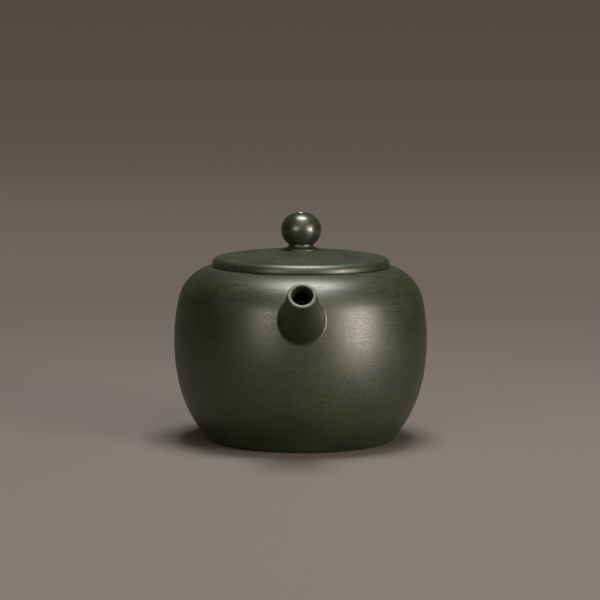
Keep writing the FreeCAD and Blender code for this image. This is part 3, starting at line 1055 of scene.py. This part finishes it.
    def root_rings(self, leaves: np.ndarray) -> list[np.ndarray]:
        """The round of slip where the spout stands on the wall.

        Args:
            leaves: Where each line of the spout's outside comes out of the wall.

        Returns:
            Rings from just under the wall's surface to the start of the clear spout.
        """
        corner = self.points(leaves, self.outer_radius(leaves))
        clear = leaves + self.lute
        above = self.points(clear, self.outer_radius(clear))
        normal = self.form.normals(corner)
        sideways = self.spokes - np.sum(self.spokes * normal, axis=1)[:, None] * normal
        beside = corner + sideways / np.linalg.norm(sideways, axis=1)[:, None] * self.lute
        on_wall = self.form.outside(beside[:, 2]) / np.hypot(beside[:, 0], beside[:, 1])
        beside[:, :2] *= on_wall[:, None]
        rings = [beside - self.form.normals(beside) * self.lute / 2]
        for step in range(CORNER_POINTS + 2):
            share = step / (CORNER_POINTS + 1)
            bend = (1 - share) ** 2 * beside + 2 * share * (1 - share) * corner + share**2 * above
            rings.append(bend)
        return rings

    def spout(self) -> Piece:
        """Skin the spout: the luted root, the flared outside, the rounded lip and the bore.

        Returns:
            The spout.
        """
        leaves = self.meets_wall(self.outer_radius)
        rings = self.root_rings(leaves)
        edge = np.full(self.sides, self.length)
        outer, inner = self.outer_radius(edge), self.bore_radius(edge)
        start = leaves + self.lute
        stop = self.lip_reach(outer) - self.lip_round
        rows = math.ceil(self.length / ARC_STEP)
        for row in range(1, rows + 1):
            reach = start + (stop - start) * row / rows
            rings.append(self.points(reach, self.outer_radius(reach)))
        for centre, quarter in ((outer - self.lip_round, 0), (inner + self.lip_round, 1)):
            for step in range(1, CORNER_POINTS):
                swing = math.pi / 2 * (quarter + step / CORNER_POINTS)
                radius = centre + self.lip_round * math.cos(swing)
                reach = self.lip_reach(radius) - self.lip_round * (1 - math.sin(swing))
                rings.append(self.points(reach, radius))
        start = self.lip_reach(inner) - self.lip_round
        stop = self.meets_wall(self.bore_radius)
        for row in range(rows + 1):
            reach = start + (stop - start) * row / rows
            rings.append(self.points(reach, self.throat_radius(reach, start)))
        obj = grid_skin("spout_clay", rings, self.shop.clays[Slot.BURNISHED])
        return Piece(obj, Body.POT, Slot.BURNISHED)

    def drill(self) -> bpy.types.Object:
        """Make the cylinder that cuts the spout's bore through the wall.

        Returns:
            The cylinder.
        """
        shell = bmesh.new()
        bmesh.ops.create_cone(
            shell,
            cap_ends=True,
            segments=self.sides,
            radius1=self.bore_root,
            radius2=self.bore_root,
            depth=2 * self.overrun,
        )
        shell.transform(Matrix.Translation(self.root) @ upright_to(Vector(self.along)))
        obj = new_object("spout_drill", [], [], [])
        shell.to_mesh(obj.data)
        shell.free()
        return obj

    def strainer(self) -> Piece:
        """Turn the dome, pierce it and set it square on the inside of the wall.

        Returns:
            The strainer.
        """
        outer, inner = self.strainer_radius, self.strainer_radius - self.strainer_wall
        middle, low = (0.0, 0.0), -self.strainer_sink
        outline = Outline((inner, low)).line((outer, low), (outer, 0.0)).arc(middle, (0.0, outer))
        outline.line((0.0, inner)).arc(middle, (inner, 0.0))
        dome = self.shop.turn("strainer_clay", outline, Body.POT, Slot.BARE, self.sides // 2)
        values = {
            "Reach": self.strainer_radius,
            "Hole radius": self.hole_radius,
            "Hole sides": self.hole_sides,
            "Inner angle": self.inner_angle,
            "Inner count": self.inner_count,
            "Outer angle": self.outer_angle,
            "Outer count": self.outer_count,
            "Clay": self.shop.clays[Slot.BARE],
        }
        run_tree(dome.obj, self.shop.pierced, values)
        back = self.form.wall / math.cos(self.tilt - self.lean)
        turn = upright_to(Vector((0.0, math.cos(self.lean), -math.sin(self.lean))))
        dome.obj.data.transform(Matrix.Translation(self.root - back * self.along) @ turn)
        dome.obj.data.set_sharp_from_angle(angle=CREASE)
        return dome


@dataclass
class Handle:
    """The ear-shaped loop opposite the spout.

    Attributes:
        form: The pot's arcs.
        shop: The trees and clays.
        reach: How far the loop stands out from the pot's widest line.
        lift: How far above that line it stands out most.
        top_arc: The radius of its upper bend.
        low_arc: The radius of its lower bend.
        top_slope: The slope of its upper end.
        low_slope: The slope of its lower end.
        top_radius: The coil's radius at the upper end.
        low_radius: The coil's radius at the lower end.
        sink: How far the loop's ends reach into the wall.
        lute: How far its flared ends spread.
        lute_length: How far along the loop the flare runs.
        lute_power: How quickly the flare dies away.
        rings: Rings along the coil.
        sides: Flats round the coil.
        rounds: Steps of the search for the wall.
    """

    form: PotForm
    shop: Workshop
    reach: float = 27.0 * MM
    lift: float = 7.0 * MM
    top_arc: float = 13.5 * MM
    low_arc: float = 22.0 * MM
    top_slope: float = math.radians(10.0)
    low_slope: float = math.radians(20.0)
    top_radius: float = 4.4 * MM
    low_radius: float = 3.3 * MM
    sink: float = 1.2 * MM
    lute: float = 1.6 * MM
    lute_length: float = 4.5 * MM
    lute_power: float = 3.0
    rings: int = 240
    sides: int = 72
    rounds: int = 20

    def run_end(self, start: Place, slope: float) -> Place:
        """Follow a straight run from the loop back to just under the wall's surface.

        Args:
            start: Where the run leaves the loop's arc, as a radius and height.
            slope: The run's slope.

        Returns:
            Where the run ends.
        """
        radius = self.form.belly_radius
        for _ in range(self.rounds):
            height = start[1] - (start[0] - radius) * math.tan(slope)
            radius = float(self.form.outside(np.array([height]))[0]) - self.sink
        return (radius, start[1] - (start[0] - radius) * math.tan(slope))

    def loop(self) -> Piece:
        """Roll the loop along its line.

        Returns:
            The handle.
        """
        out, level = self.form.belly_radius + self.reach, self.form.belly_height + self.lift
        top_centre, low_centre = (out - self.top_arc, level), (out - self.low_arc, level)
        top = (
            top_centre[0] - self.top_arc * math.sin(self.top_slope),
            top_centre[1] + self.top_arc * math.cos(self.top_slope),
        )
        low = (
            low_centre[0] + self.low_arc * math.sin(self.low_slope),
            low_centre[1] - self.low_arc * math.cos(self.low_slope),
        )
        line = Outline(self.run_end(top, self.top_slope)).line(top).arc(top_centre, (out, level))
        line.arc(low_centre, low).line(self.run_end(low, self.low_slope))
        obj = new_line("handle_clay", [(0.0, across, up) for across, up in line.places])
        values = {
            "First radius": self.top_radius,
            "Last radius": self.low_radius,
            "Lute": self.lute,
            "Lute length": self.lute_length,
            "Lute power": self.lute_power,
            "Rings": self.rings,
            "Sides": self.sides,
            "Clay": self.shop.clays[Slot.BURNISHED],
        }
        run_tree(obj, self.shop.loop, values)
        face_outwards(obj)
        obj.data.set_sharp_from_angle(angle=CREASE)
        return Piece(obj, Body.POT, Slot.BURNISHED)


@dataclass
class Lid:
    """The domed slab of the lid, the strip under its edge and the flange in the mouth.

    Attributes:
        form: The pot's arcs.
        shop: The trees and clays.
        inset: How far inside the land's edge the lid ends.
        edge: The radius of the lid's round edge.
        dome: The radius of its domed top.
        thickness: The thickness of the slab.
        rim_thickness: The thickness of the strip.
        rim_round: The radius of the strip's lower edge.
        rim_side: The height of the strip's upright side.
        flange_gap: The play between the flange and the mouth.
        flange_wall: The thickness of the flange.
        flange_depth: How far the flange reaches down.
        flange_round: Softening of the flange's lower edges.
        vent_radius: The radius of the vent.
        segments: Flats round each piece.
    """

    form: PotForm
    shop: Workshop
    inset: float = 0.75 * MM
    edge: float = 2.62 * MM
    dome: float = 168.0 * MM
    thickness: float = 3.2 * MM
    rim_thickness: float = 1.5 * MM
    rim_round: float = 0.5 * MM
    rim_side: float = 0.34 * MM
    flange_gap: float = 0.4 * MM
    flange_wall: float = 2.4 * MM
    flange_depth: float = 9.0 * MM
    flange_round: float = 0.9 * MM
    vent_radius: float = 1.0 * MM
    segments: int = 288

    def __post_init__(self) -> None:
        """Work out the places that the lid's pieces share."""
        seat = self.form.mouth_height
        self.radius = self.form.land_radius - self.inset
        self.rim_top = seat + self.rim_thickness
        self.edge_centre = (self.radius - self.edge, seat + self.rim_round + self.rim_side)
        fall = leg(self.dome - self.edge, self.edge_centre[0])
        self.dome_centre = (0.0, self.edge_centre[1] - fall)
        self.flange_radius = self.form.mouth_radius - self.flange_gap
        rise = self.rim_top - self.edge_centre[1]
        self.rim_edge = (self.edge_centre[0] + leg(self.edge, rise), self.rim_top)

    def on_dome(self, radius: float, depth: float = 0.0) -> Place:
        """The place on the dome at a radius, some depth into the clay."""
        return (radius, self.dome_centre[1] + leg(self.dome - depth, radius))

    def disc(self) -> Piece:
        """Turn the domed slab.

        Returns:
            The slab.
        """
        share = self.dome / (self.dome - self.edge)
        dome_start = self.on_dome(self.edge_centre[0] * share)
        under = leg(self.dome - self.thickness, self.rim_top - self.dome_centre[1])
        start = (under, self.rim_top)
        outline = Outline(start).line(self.rim_edge).arc(self.edge_centre, dome_start)
        outline.arc(self.dome_centre, self.on_dome(self.vent_radius))
        outline.line(self.on_dome(self.vent_radius, self.thickness)).arc(self.dome_centre, start)
        return self.shop.turn("lid_disc_clay", outline, Body.LID, Slot.BURNISHED, self.segments)

    def rim(self) -> Piece:
        """Turn the strip under the lid's edge.

        Returns:
            The strip.
        """
        seat = self.form.mouth_height
        foot = (self.radius - self.rim_round, seat)
        side = (self.radius, seat + self.rim_round)
        outline = Outline((self.flange_radius, seat)).line(foot).arc((foot[0], side[1]), side)
        outline.line((self.radius, self.edge_centre[1])).arc(self.edge_centre, self.rim_edge)
        outline.line((self.flange_radius, self.rim_top))
        return self.shop.turn("lid_rim_clay", outline, Body.LID, Slot.BURNISHED, self.segments)

    def flange(self) -> Piece:
        """Turn the collar that drops into the mouth.

        Returns:
            The flange.
        """
        inner, outer = self.flange_radius - self.flange_wall, self.flange_radius
        low, high = self.form.mouth_height - self.flange_depth, self.rim_top
        outline = Outline((inner, high)).soft((inner, low), (outer, low), self.flange_round)
        outline.soft((outer, low), (outer, high), self.flange_round).line((outer, high))
        return self.shop.turn("lid_flange_clay", outline, Body.LID, Slot.BARE, self.segments)


@dataclass
class Knob:
    """The ball knob and the coved neck that it stands on.

    Attributes:
        lid: The lid under it.
        radius: The ball's radius at its widest line.
        arc: The radius of the arc that rounds it.
        neck_radius: The neck's radius under the ball.
        neck_height: How far the ball stands above the dome's top.
        neck_step: How much of that is below the cove.
        neck_bead: The radius of the round at the neck's foot.
        neck_lute: How far the slip at the foot spreads on the dome.
        vent_cut: How deep and wide the vent is countersunk.
        segments: Flats round each piece.
    """

    lid: Lid
    radius: float = 7.3 * MM
    arc: float = 6.25 * MM
    neck_radius: float = 4.43 * MM
    neck_height: float = 1.95 * MM
    neck_step: float = 0.65 * MM
    neck_bead: float = 0.6 * MM
    neck_lute: float = 0.3 * MM
    vent_cut: float = 0.9 * MM
    segments: int = 160

    def __post_init__(self) -> None:
        """Work out where the neck ends and the ball's section has its middle."""
        self.neck_top = self.lid.on_dome(0.0)[1] + self.neck_height
        offset = self.radius - self.arc
        self.centre = (offset, self.neck_top + leg(self.arc, self.neck_radius - offset))

    def neck(self) -> Piece:
        """Turn the coved neck with its rounded foot, luted on to the dome.

        Returns:
            The neck.
        """
        lid, top = self.lid, self.neck_top
        cove = self.neck_height - self.neck_step
        cove_low = (self.neck_radius + cove, top - cove)
        foot_radius = cove_low[0] + self.neck_bead
        bead = (foot_radius, cove_low[1] - self.neck_bead)
        outline = Outline(lid.on_dome(lid.vent_radius))
        outline.arc(lid.dome_centre, lid.on_dome(foot_radius + self.neck_lute))
        outline.soft(lid.on_dome(foot_radius), bead, self.neck_lute / 2).line(bead)
        outline.arc((cove_low[0], bead[1]), cove_low)
        outline.arc((cove_low[0], top), (self.neck_radius, top)).line((lid.vent_radius, top))
        return lid.shop.turn("knob_neck_clay", outline, Body.LID, Slot.BURNISHED, self.segments)

    def ball(self) -> Piece:
        """Turn the flattened ball with the countersunk vent.

        Returns:
            The knob.
        """
        lid, centre = self.lid, self.centre
        vent = lid.vent_radius
        rim = vent + self.vent_cut
        rim_height = centre[1] + leg(self.arc, rim - centre[0])
        outline = Outline((vent, self.neck_top)).line((self.neck_radius, self.neck_top))
        outline.arc(centre, (self.radius, centre[1])).arc(centre, (rim, rim_height))
        outline.line((vent, rim_height - self.vent_cut))
        return lid.shop.turn("lid_knob_clay", outline, Body.LID, Slot.POLISHED, self.segments)


# Detail and roughness of the patterns for the sand, the clouds of tone and the tool's strokes
GRAIN_NOISE = (3.0, 0.65)
CLOUD_NOISE = (4.0, 0.55)
STROKE_NOISE = (3.0, 0.5)
# The strokes run level, so their pattern is drawn out both ways across the pot
STROKE_STRETCH = (0.07, 0.07, 1.0)
# The share of cells without a fleck, the largest fleck in its cell, and how high flecks stand
FLECK_LUCK = 0.45
FLECK_SIZE = 0.36
FLECK_HEIGHT = 0.35
# How much clouds, sand and strokes count in the clay's tone and gloss, and the range of each sum
TONE_SHARES = (0.35, 0.45, 0.2)
TONE_RANGE = (0.4, 0.6)
GLOSS_SHARES = (0.25, 0.55, 0.2)
GLOSS_RANGE = (0.34, 0.66)
# How strongly the flecks show, and how high the strokes stand next to the sand
FLECK_SHOW = 0.35
STROKE_HEIGHT = 0.4


def sand_grain_group() -> Tree:
    """Build the shared effect of sand in the clay.

    Returns:
        The group: places and grain sizes in, grain, pale flecks and height out.
    """
    inputs = {Socket.PLACE: ("Place",), Socket.NUMBER: ("Grain scale", "Fleck scale")}
    outputs = {Socket.NUMBER: ("Grain", "Flecks", "Height")}
    bench = NodeBench.group("sand_grain", Use.LOOK, inputs, outputs)
    given = bench.add("NodeGroupInput").outputs
    grain = bench.noise(given["Place"], given["Grain scale"], *GRAIN_NOISE)
    cells = bench.add(
        "ShaderNodeTexVoronoi",
        {"Vector": given["Place"], "Scale": given["Fleck scale"], "Randomness": 1.0},
    ).outputs
    luck = bench.add("ShaderNodeSeparateColor", {0: cells["Color"]}).outputs[0]
    size = bench.remap(luck, (FLECK_LUCK, 1.0), (0.0, FLECK_SIZE))
    flecks = bench.remap(cells["Distance"], (size, 0.0))
    height = bench.maths("ADD", grain, bench.maths("MULTIPLY", flecks, FLECK_HEIGHT))
    bench.add("NodeGroupOutput", {"Grain": grain, "Flecks": flecks, "Height": height})
    return bench.tree


def burnish_group() -> Tree:
    """Build the shared effect of rubbing with a horn tool.

    Returns:
        The group: places in, slow clouds of tone and level strokes out.
    """
    inputs = {Socket.PLACE: ("Place",), Socket.NUMBER: ("Cloud scale", "Stroke scale")}
    outputs = {Socket.NUMBER: ("Clouds", "Strokes")}
    bench = NodeBench.group("burnish_marks", Use.LOOK, inputs, outputs)
    given = bench.add("NodeGroupInput").outputs
    clouds = bench.noise(given["Place"], given["Cloud scale"], *CLOUD_NOISE)
    level = bench.add("ShaderNodeMapping", {"Vector": given["Place"], "Scale": STROKE_STRETCH})
    strokes = bench.noise(level, given["Stroke scale"], *STROKE_NOISE)
    bench.add("NodeGroupOutput", {"Clouds": clouds, "Strokes": strokes})
    return bench.tree


@dataclass(frozen=True)
class ClayFinish:
    """One finish of the same clay.

    Attributes:
        slot: The material slot that it covers.
        deep: The clay where it is darkest.
        light: The clay where it is lightest.
        fleck: The sand.
        smooth: Roughness where the tool pressed hardest.
        rough: Roughness where it pressed least.
        relief: How far the sand stands out.
        shine: How strongly the rubbed skin reflects, with 0.5 for plain clay.
        grain_scale: Grains to the metre.
        fleck_scale: Cells for flecks to the metre.
        cloud_scale: Clouds of tone to the metre.
        stroke_scale: Strokes to the metre of height.
    """

    slot: Slot
    deep: Colour
    light: Colour
    fleck: Colour
    smooth: float
    rough: float
    relief: float
    shine: float
    grain_scale: float = 1500.0
    fleck_scale: float = 900.0
    cloud_scale: float = 55.0
    stroke_scale: float = 1500.0

    def material(self, sand: Tree, marks: Tree) -> bpy.types.Material:
        """Make the material.

        Args:
            sand: The group for the sand in the clay.
            marks: The group for the tool's marks.

        Returns:
            The material, on Object coordinates.
        """
        made = bpy.data.materials.new(self.slot.value)
        made.use_nodes = True
        bench = NodeBench(made.node_tree)
        place = bench.add("ShaderNodeTexCoord").outputs["Object"]
        grain = bench.add(
            "ShaderNodeGroup",
            {"Place": place, "Grain scale": self.grain_scale, "Fleck scale": self.fleck_scale},
            node_tree=sand,
        ).outputs
        rubbed = bench.add(
            "ShaderNodeGroup",
            {"Place": place, "Cloud scale": self.cloud_scale, "Stroke scale": self.stroke_scale},
            node_tree=marks,
        ).outputs
        parts = (rubbed["Clouds"], grain["Grain"], rubbed["Strokes"])
        tone = bench.remap(bench.weigh(parts, TONE_SHARES), TONE_RANGE)
        body = bench.blend(tone, self.deep, self.light)
        shown = bench.maths("MULTIPLY", grain["Flecks"], FLECK_SHOW)
        pressed = bench.weigh(parts, GLOSS_SHARES)
        height = bench.maths("MULTIPLY", rubbed["Strokes"], STROKE_HEIGHT)
        height = bench.maths("ADD", height, grain["Height"])
        relief = {"Strength": 1.0, "Distance": self.relief, "Height": height}
        bench.feed(
            made.node_tree.nodes["Principled BSDF"],
            {
                "Base Color": bench.blend(shown, body, self.fleck),
                "Roughness": bench.remap(pressed, GLOSS_RANGE, (self.smooth, self.rough)),
                "Specular IOR Level": self.shine,
                "Normal": bench.add("ShaderNodeBump", relief),
            },
        )
        return made


FINISHES = (
    ClayFinish(
        slot=Slot.BURNISHED,
        deep=(0.0045, 0.0102, 0.0013, 1.0),
        light=(0.0125, 0.0215, 0.0039, 1.0),
        fleck=(0.14, 0.12, 0.07, 1.0),
        smooth=0.34,
        rough=0.54,
        relief=0.024 * MM,
        shine=0.93,
    ),
    ClayFinish(
        slot=Slot.BARE,
        deep=(0.026, 0.031, 0.017, 1.0),
        light=(0.046, 0.052, 0.031, 1.0),
        fleck=(0.15, 0.14, 0.09, 1.0),
        smooth=0.62,
        rough=0.78,
        relief=0.05 * MM,
        shine=0.5,
    ),
    ClayFinish(
        slot=Slot.POLISHED,
        deep=(0.005, 0.009, 0.0022, 1.0),
        light=(0.017, 0.023, 0.008, 1.0),
        fleck=(0.12, 0.10, 0.06, 1.0),
        smooth=0.26,
        rough=0.42,
        relief=0.02 * MM,
        shine=0.93,
    ),
)


@dataclass(frozen=True)
class Softbox:
    """One soft studio light that points at the pot.

    Attributes:
        name: The light's name.
        azimuth: Degrees to the right of the camera.
        elevation: Degrees above the table.
        distance: Metres from the pot.
        size: Its width and height.
        watts: Its power.
        colour: Its colour.
    """

    name: str
    azimuth: float
    elevation: float
    distance: float
    size: tuple[float, float]
    watts: float
    colour: tuple[float, float, float]

    def hang(self, target: Vector) -> None:
        """Hang the light so that it faces the target.

        Args:
            target: Where it points.
        """
        lamp = bpy.data.lights.new(self.name, "AREA")
        lamp.shape = "RECTANGLE"
        lamp.size, lamp.size_y = self.size
        lamp.energy = self.watts
        lamp.color = self.colour
        turn, lift = math.radians(self.azimuth), math.radians(self.elevation)
        right, front = math.sin(turn) * math.cos(lift), -math.cos(turn) * math.cos(lift)
        away = Vector((right, front, math.sin(lift)))
        obj = bpy.data.objects.new(self.name, lamp)
        obj.location = target + away * self.distance
        obj.rotation_euler = away.to_track_quat("Z", "Y").to_euler()
        bpy.context.scene.collection.objects.link(obj)


# In each row: name, azimuth, elevation, distance, size, watts, colour
SOFTBOXES = (
    Softbox("top_softbox", 90.0, 87.1, 1.0, (0.35, 0.43), 12.3, (1.0, 0.96, 0.88)),
    Softbox("key_softbox", 53.0, 8.7, 1.1, (0.35, 0.39), 11.3, (1.0, 0.9, 0.77)),
    Softbox("fill_softbox", -31.5, 14.0, 1.2, (0.32, 0.33), 3.3, (1.0, 0.93, 0.78)),
    Softbox("front_softbox", 10.0, 24.0, 1.3, (1.6, 0.7), 2.9, (1.0, 0.92, 0.72)),
    Softbox("high_softbox", 15.0, 52.0, 1.3, (1.6, 0.45), 3.2, (1.0, 0.92, 0.72)),
)


@dataclass(frozen=True)
class Studio:
    """The table, the lights, the dim room and the photograph's camera.

    Attributes:
        middle_height: The height on the pot's axis that the camera and lights are set out from.
        azimuth: How far the camera stands round to the left of the spout.
        elevation: How far the camera stands above the middle.
        pitch: How far the camera looks down.
        roll: How far the camera is turned about its own line of sight.
        yaw: How far the camera looks to the left of the pot's axis.
        distance: The camera's distance from the middle.
        lens: The focal length for a picture as wide as the sensor, in mm.
        sensor_width: The sensor's width, in mm.
        far_limit: How far the camera sees.
        floor_colour: The sheet where it is seen.
        floor_bounce: The sheet where it throws light back.
        near_glow: The painted light that the far stretch of the sheet glows with where it begins.
        far_glow: The painted light that the far stretch of the sheet glows with at its end, darker
            as painted falloff.
        glow_start: How far behind the pot the sheet begins to glow with painted light in place of
            lamp light.
        glow_full: How far behind the pot it glows with painted light all over.
        glow_near: How far behind the pot the painted glow begins to get darker, as painted falloff.
        glow_far: How far behind the pot the painted glow is darkest.
        room_colour: The colour of the room's own light.
        room_strength: How strong that is.
        floor_width: The width of the sheet.
        floor_front: Where the sheet begins, in front of the pot.
        floor_back: Where it begins to sweep up.
        sweep_radius: The radius of the sweep.
        sweep_steps: Flats in the sweep.
        wall_height: How high the sheet hangs.
    """

    middle_height: float = 40.0 * MM
    azimuth: float = math.radians(0.38)
    elevation: float = math.radians(7.01)
    pitch: float = math.radians(6.386)
    roll: float = math.radians(0.3)
    yaw: float = math.radians(0.016)
    distance: float = 1.0
    lens: float = 164.8
    sensor_width: float = 36.0
    far_limit: float = 50.0
    floor_colour: Colour = (0.151, 0.137, 0.139, 1.0)
    floor_bounce: Colour = (0.1, 0.092, 0.084, 1.0)
    near_glow: Colour = (0.16, 0.135, 0.118, 1.0)
    far_glow: Colour = (0.082, 0.069, 0.057, 1.0)
    glow_start: float = 0.05
    glow_full: float = 0.7
    glow_near: float = 0.5
    glow_far: float = 2.2
    room_colour: Colour = (1.0, 0.97, 0.85, 1.0)
    room_strength: float = 0.018
    floor_width: float = 8.0
    floor_front: float = -3.0
    floor_back: float = 1.6
    sweep_radius: float = 1.2
    sweep_steps: int = 32
    wall_height: float = 4.0

    def table(self) -> None:
        """Lay a plain sheet that sweeps up behind the pot."""
        line = [(self.floor_front, 0.0), (self.floor_back, 0.0)]
        for step in range(1, self.sweep_steps + 1):
            turn = math.pi / 2 * step / self.sweep_steps
            across = self.floor_back + self.sweep_radius * math.sin(turn)
            line.append((across, self.sweep_radius * (1 - math.cos(turn))))
        line.append((line[-1][0], self.wall_height))
        half = self.floor_width / 2
        points = [(side * half, across, up) for across, up in line for side in (-1, 1)]
        starts = range(0, len(points) - 2, 2)
        faces = [(start, start + 1, start + 3, start + 2) for start in starts]
        sheet = new_object("table_sheet", points, [], faces)
        sheet.data.shade_smooth()
        sheet.data.materials.append(self.paper())

    def paper(self) -> bpy.types.Material:
        """Make the paper: pale where it is seen, darker where it lights the pot, painted light far
        away.

        Returns:
            The material.
        """
        paper = bpy.data.materials.new("table_paper")
        paper.use_nodes = True
        paper.node_tree.nodes.clear()
        bench = NodeBench(paper.node_tree)
        ray = bench.add("ShaderNodeLightPath").outputs
        seen = bench.maths("ADD", ray["Is Camera Ray"], ray["Is Glossy Ray"], clamp=True)
        seen = bench.maths("ADD", seen, ray["Is Transmission Ray"], clamp=True)
        place = bench.add("ShaderNodeTexCoord").outputs["Object"]
        back = bench.add("ShaderNodeSeparateXYZ", {0: place}).outputs["Y"]
        # Far behind the pot the sheet glows with painted light in place of lamp light, darker
        # further back as painted falloff
        far = bench.remap(back, (self.glow_start, self.glow_full), curve="SMOOTHSTEP")
        painted_falloff = bench.remap(back, (self.glow_near, self.glow_far))
        shade = bench.blend(painted_falloff, self.near_glow, self.far_glow)
        pale = bench.add("ShaderNodeBsdfDiffuse", {"Color": self.floor_colour})
        glow = bench.add("ShaderNodeEmission", {"Color": shade, "Strength": 1.0})
        shown = bench.add("ShaderNodeMixShader", {0: far, 1: pale, 2: glow})
        dull = bench.add("ShaderNodeBsdfDiffuse", {"Color": self.floor_bounce})
        whole = bench.add("ShaderNodeMixShader", {0: seen, 1: dull, 2: shown})
        bench.add("ShaderNodeOutputMaterial", {"Surface": whole})
        return paper

    def room(self) -> None:
        """Fill the room with a little even light."""
        world = bpy.data.worlds.new("studio_room")
        world.use_nodes = True
        light = {"Color": self.room_colour, "Strength": self.room_strength}
        NodeBench(world.node_tree).feed(world.node_tree.nodes["Background"], light)
        bpy.context.scene.world = world

    def camera(self) -> None:
        """Stand the camera where the photograph was taken from."""
        lens = bpy.data.cameras.new("photo_camera")
        lens.sensor_width = self.sensor_width
        lens.lens = self.lens
        lens.clip_end = self.far_limit
        obj = bpy.data.objects.new("photo_camera", lens)
        across = self.distance * math.cos(self.elevation)
        obj.location = (
            -across * math.sin(self.azimuth),
            -across * math.cos(self.azimuth),
            self.middle_height + self.distance * math.sin(self.elevation),
        )
        obj.rotation_euler = (math.pi / 2 - self.pitch, 0.0, self.yaw - self.azimuth)
        obj.rotation_euler.rotate_axis("Z", self.roll)
        bpy.context.scene.collection.objects.link(obj)
        bpy.context.scene.camera = obj
        bpy.context.scene.view_settings.view_transform = "Standard"

    def set_up(self) -> None:
        """Set up the table, the lights and the camera."""
        self.table()
        self.room()
        for softbox in SOFTBOXES:
            softbox.hang(Vector((0.0, 0.0, self.middle_height)))
        self.camera()


def main() -> None:
    """Build the teapot piece by piece, dress it and set up the studio."""
    logging.basicConfig(level=logging.INFO, format="%(name)s: %(message)s")
    sand, marks = sand_grain_group(), burnish_group()
    shop = Workshop({finish.slot: finish.material(sand, marks) for finish in FINISHES})
    form = PotForm()
    shell, pouring = PotShell(form, shop), PouringSide(form, shop)
    handle, lid = Handle(form, shop), Lid(form, shop)
    knob = Knob(lid)
    pieces = [
        shell.base_disc(),
        shell.body_wall(pouring.drill()),
        shell.shoulder_disc(),
        shell.mouth_ring(),
        pouring.spout(),
        pouring.strainer(),
        handle.loop(),
        lid.disc(),
        lid.rim(),
        lid.flange(),
        knob.neck(),
        knob.ball(),
    ]
    for piece in pieces:
        piece.settle()
    Studio().set_up()


if __name__ == "__main__":
    main()
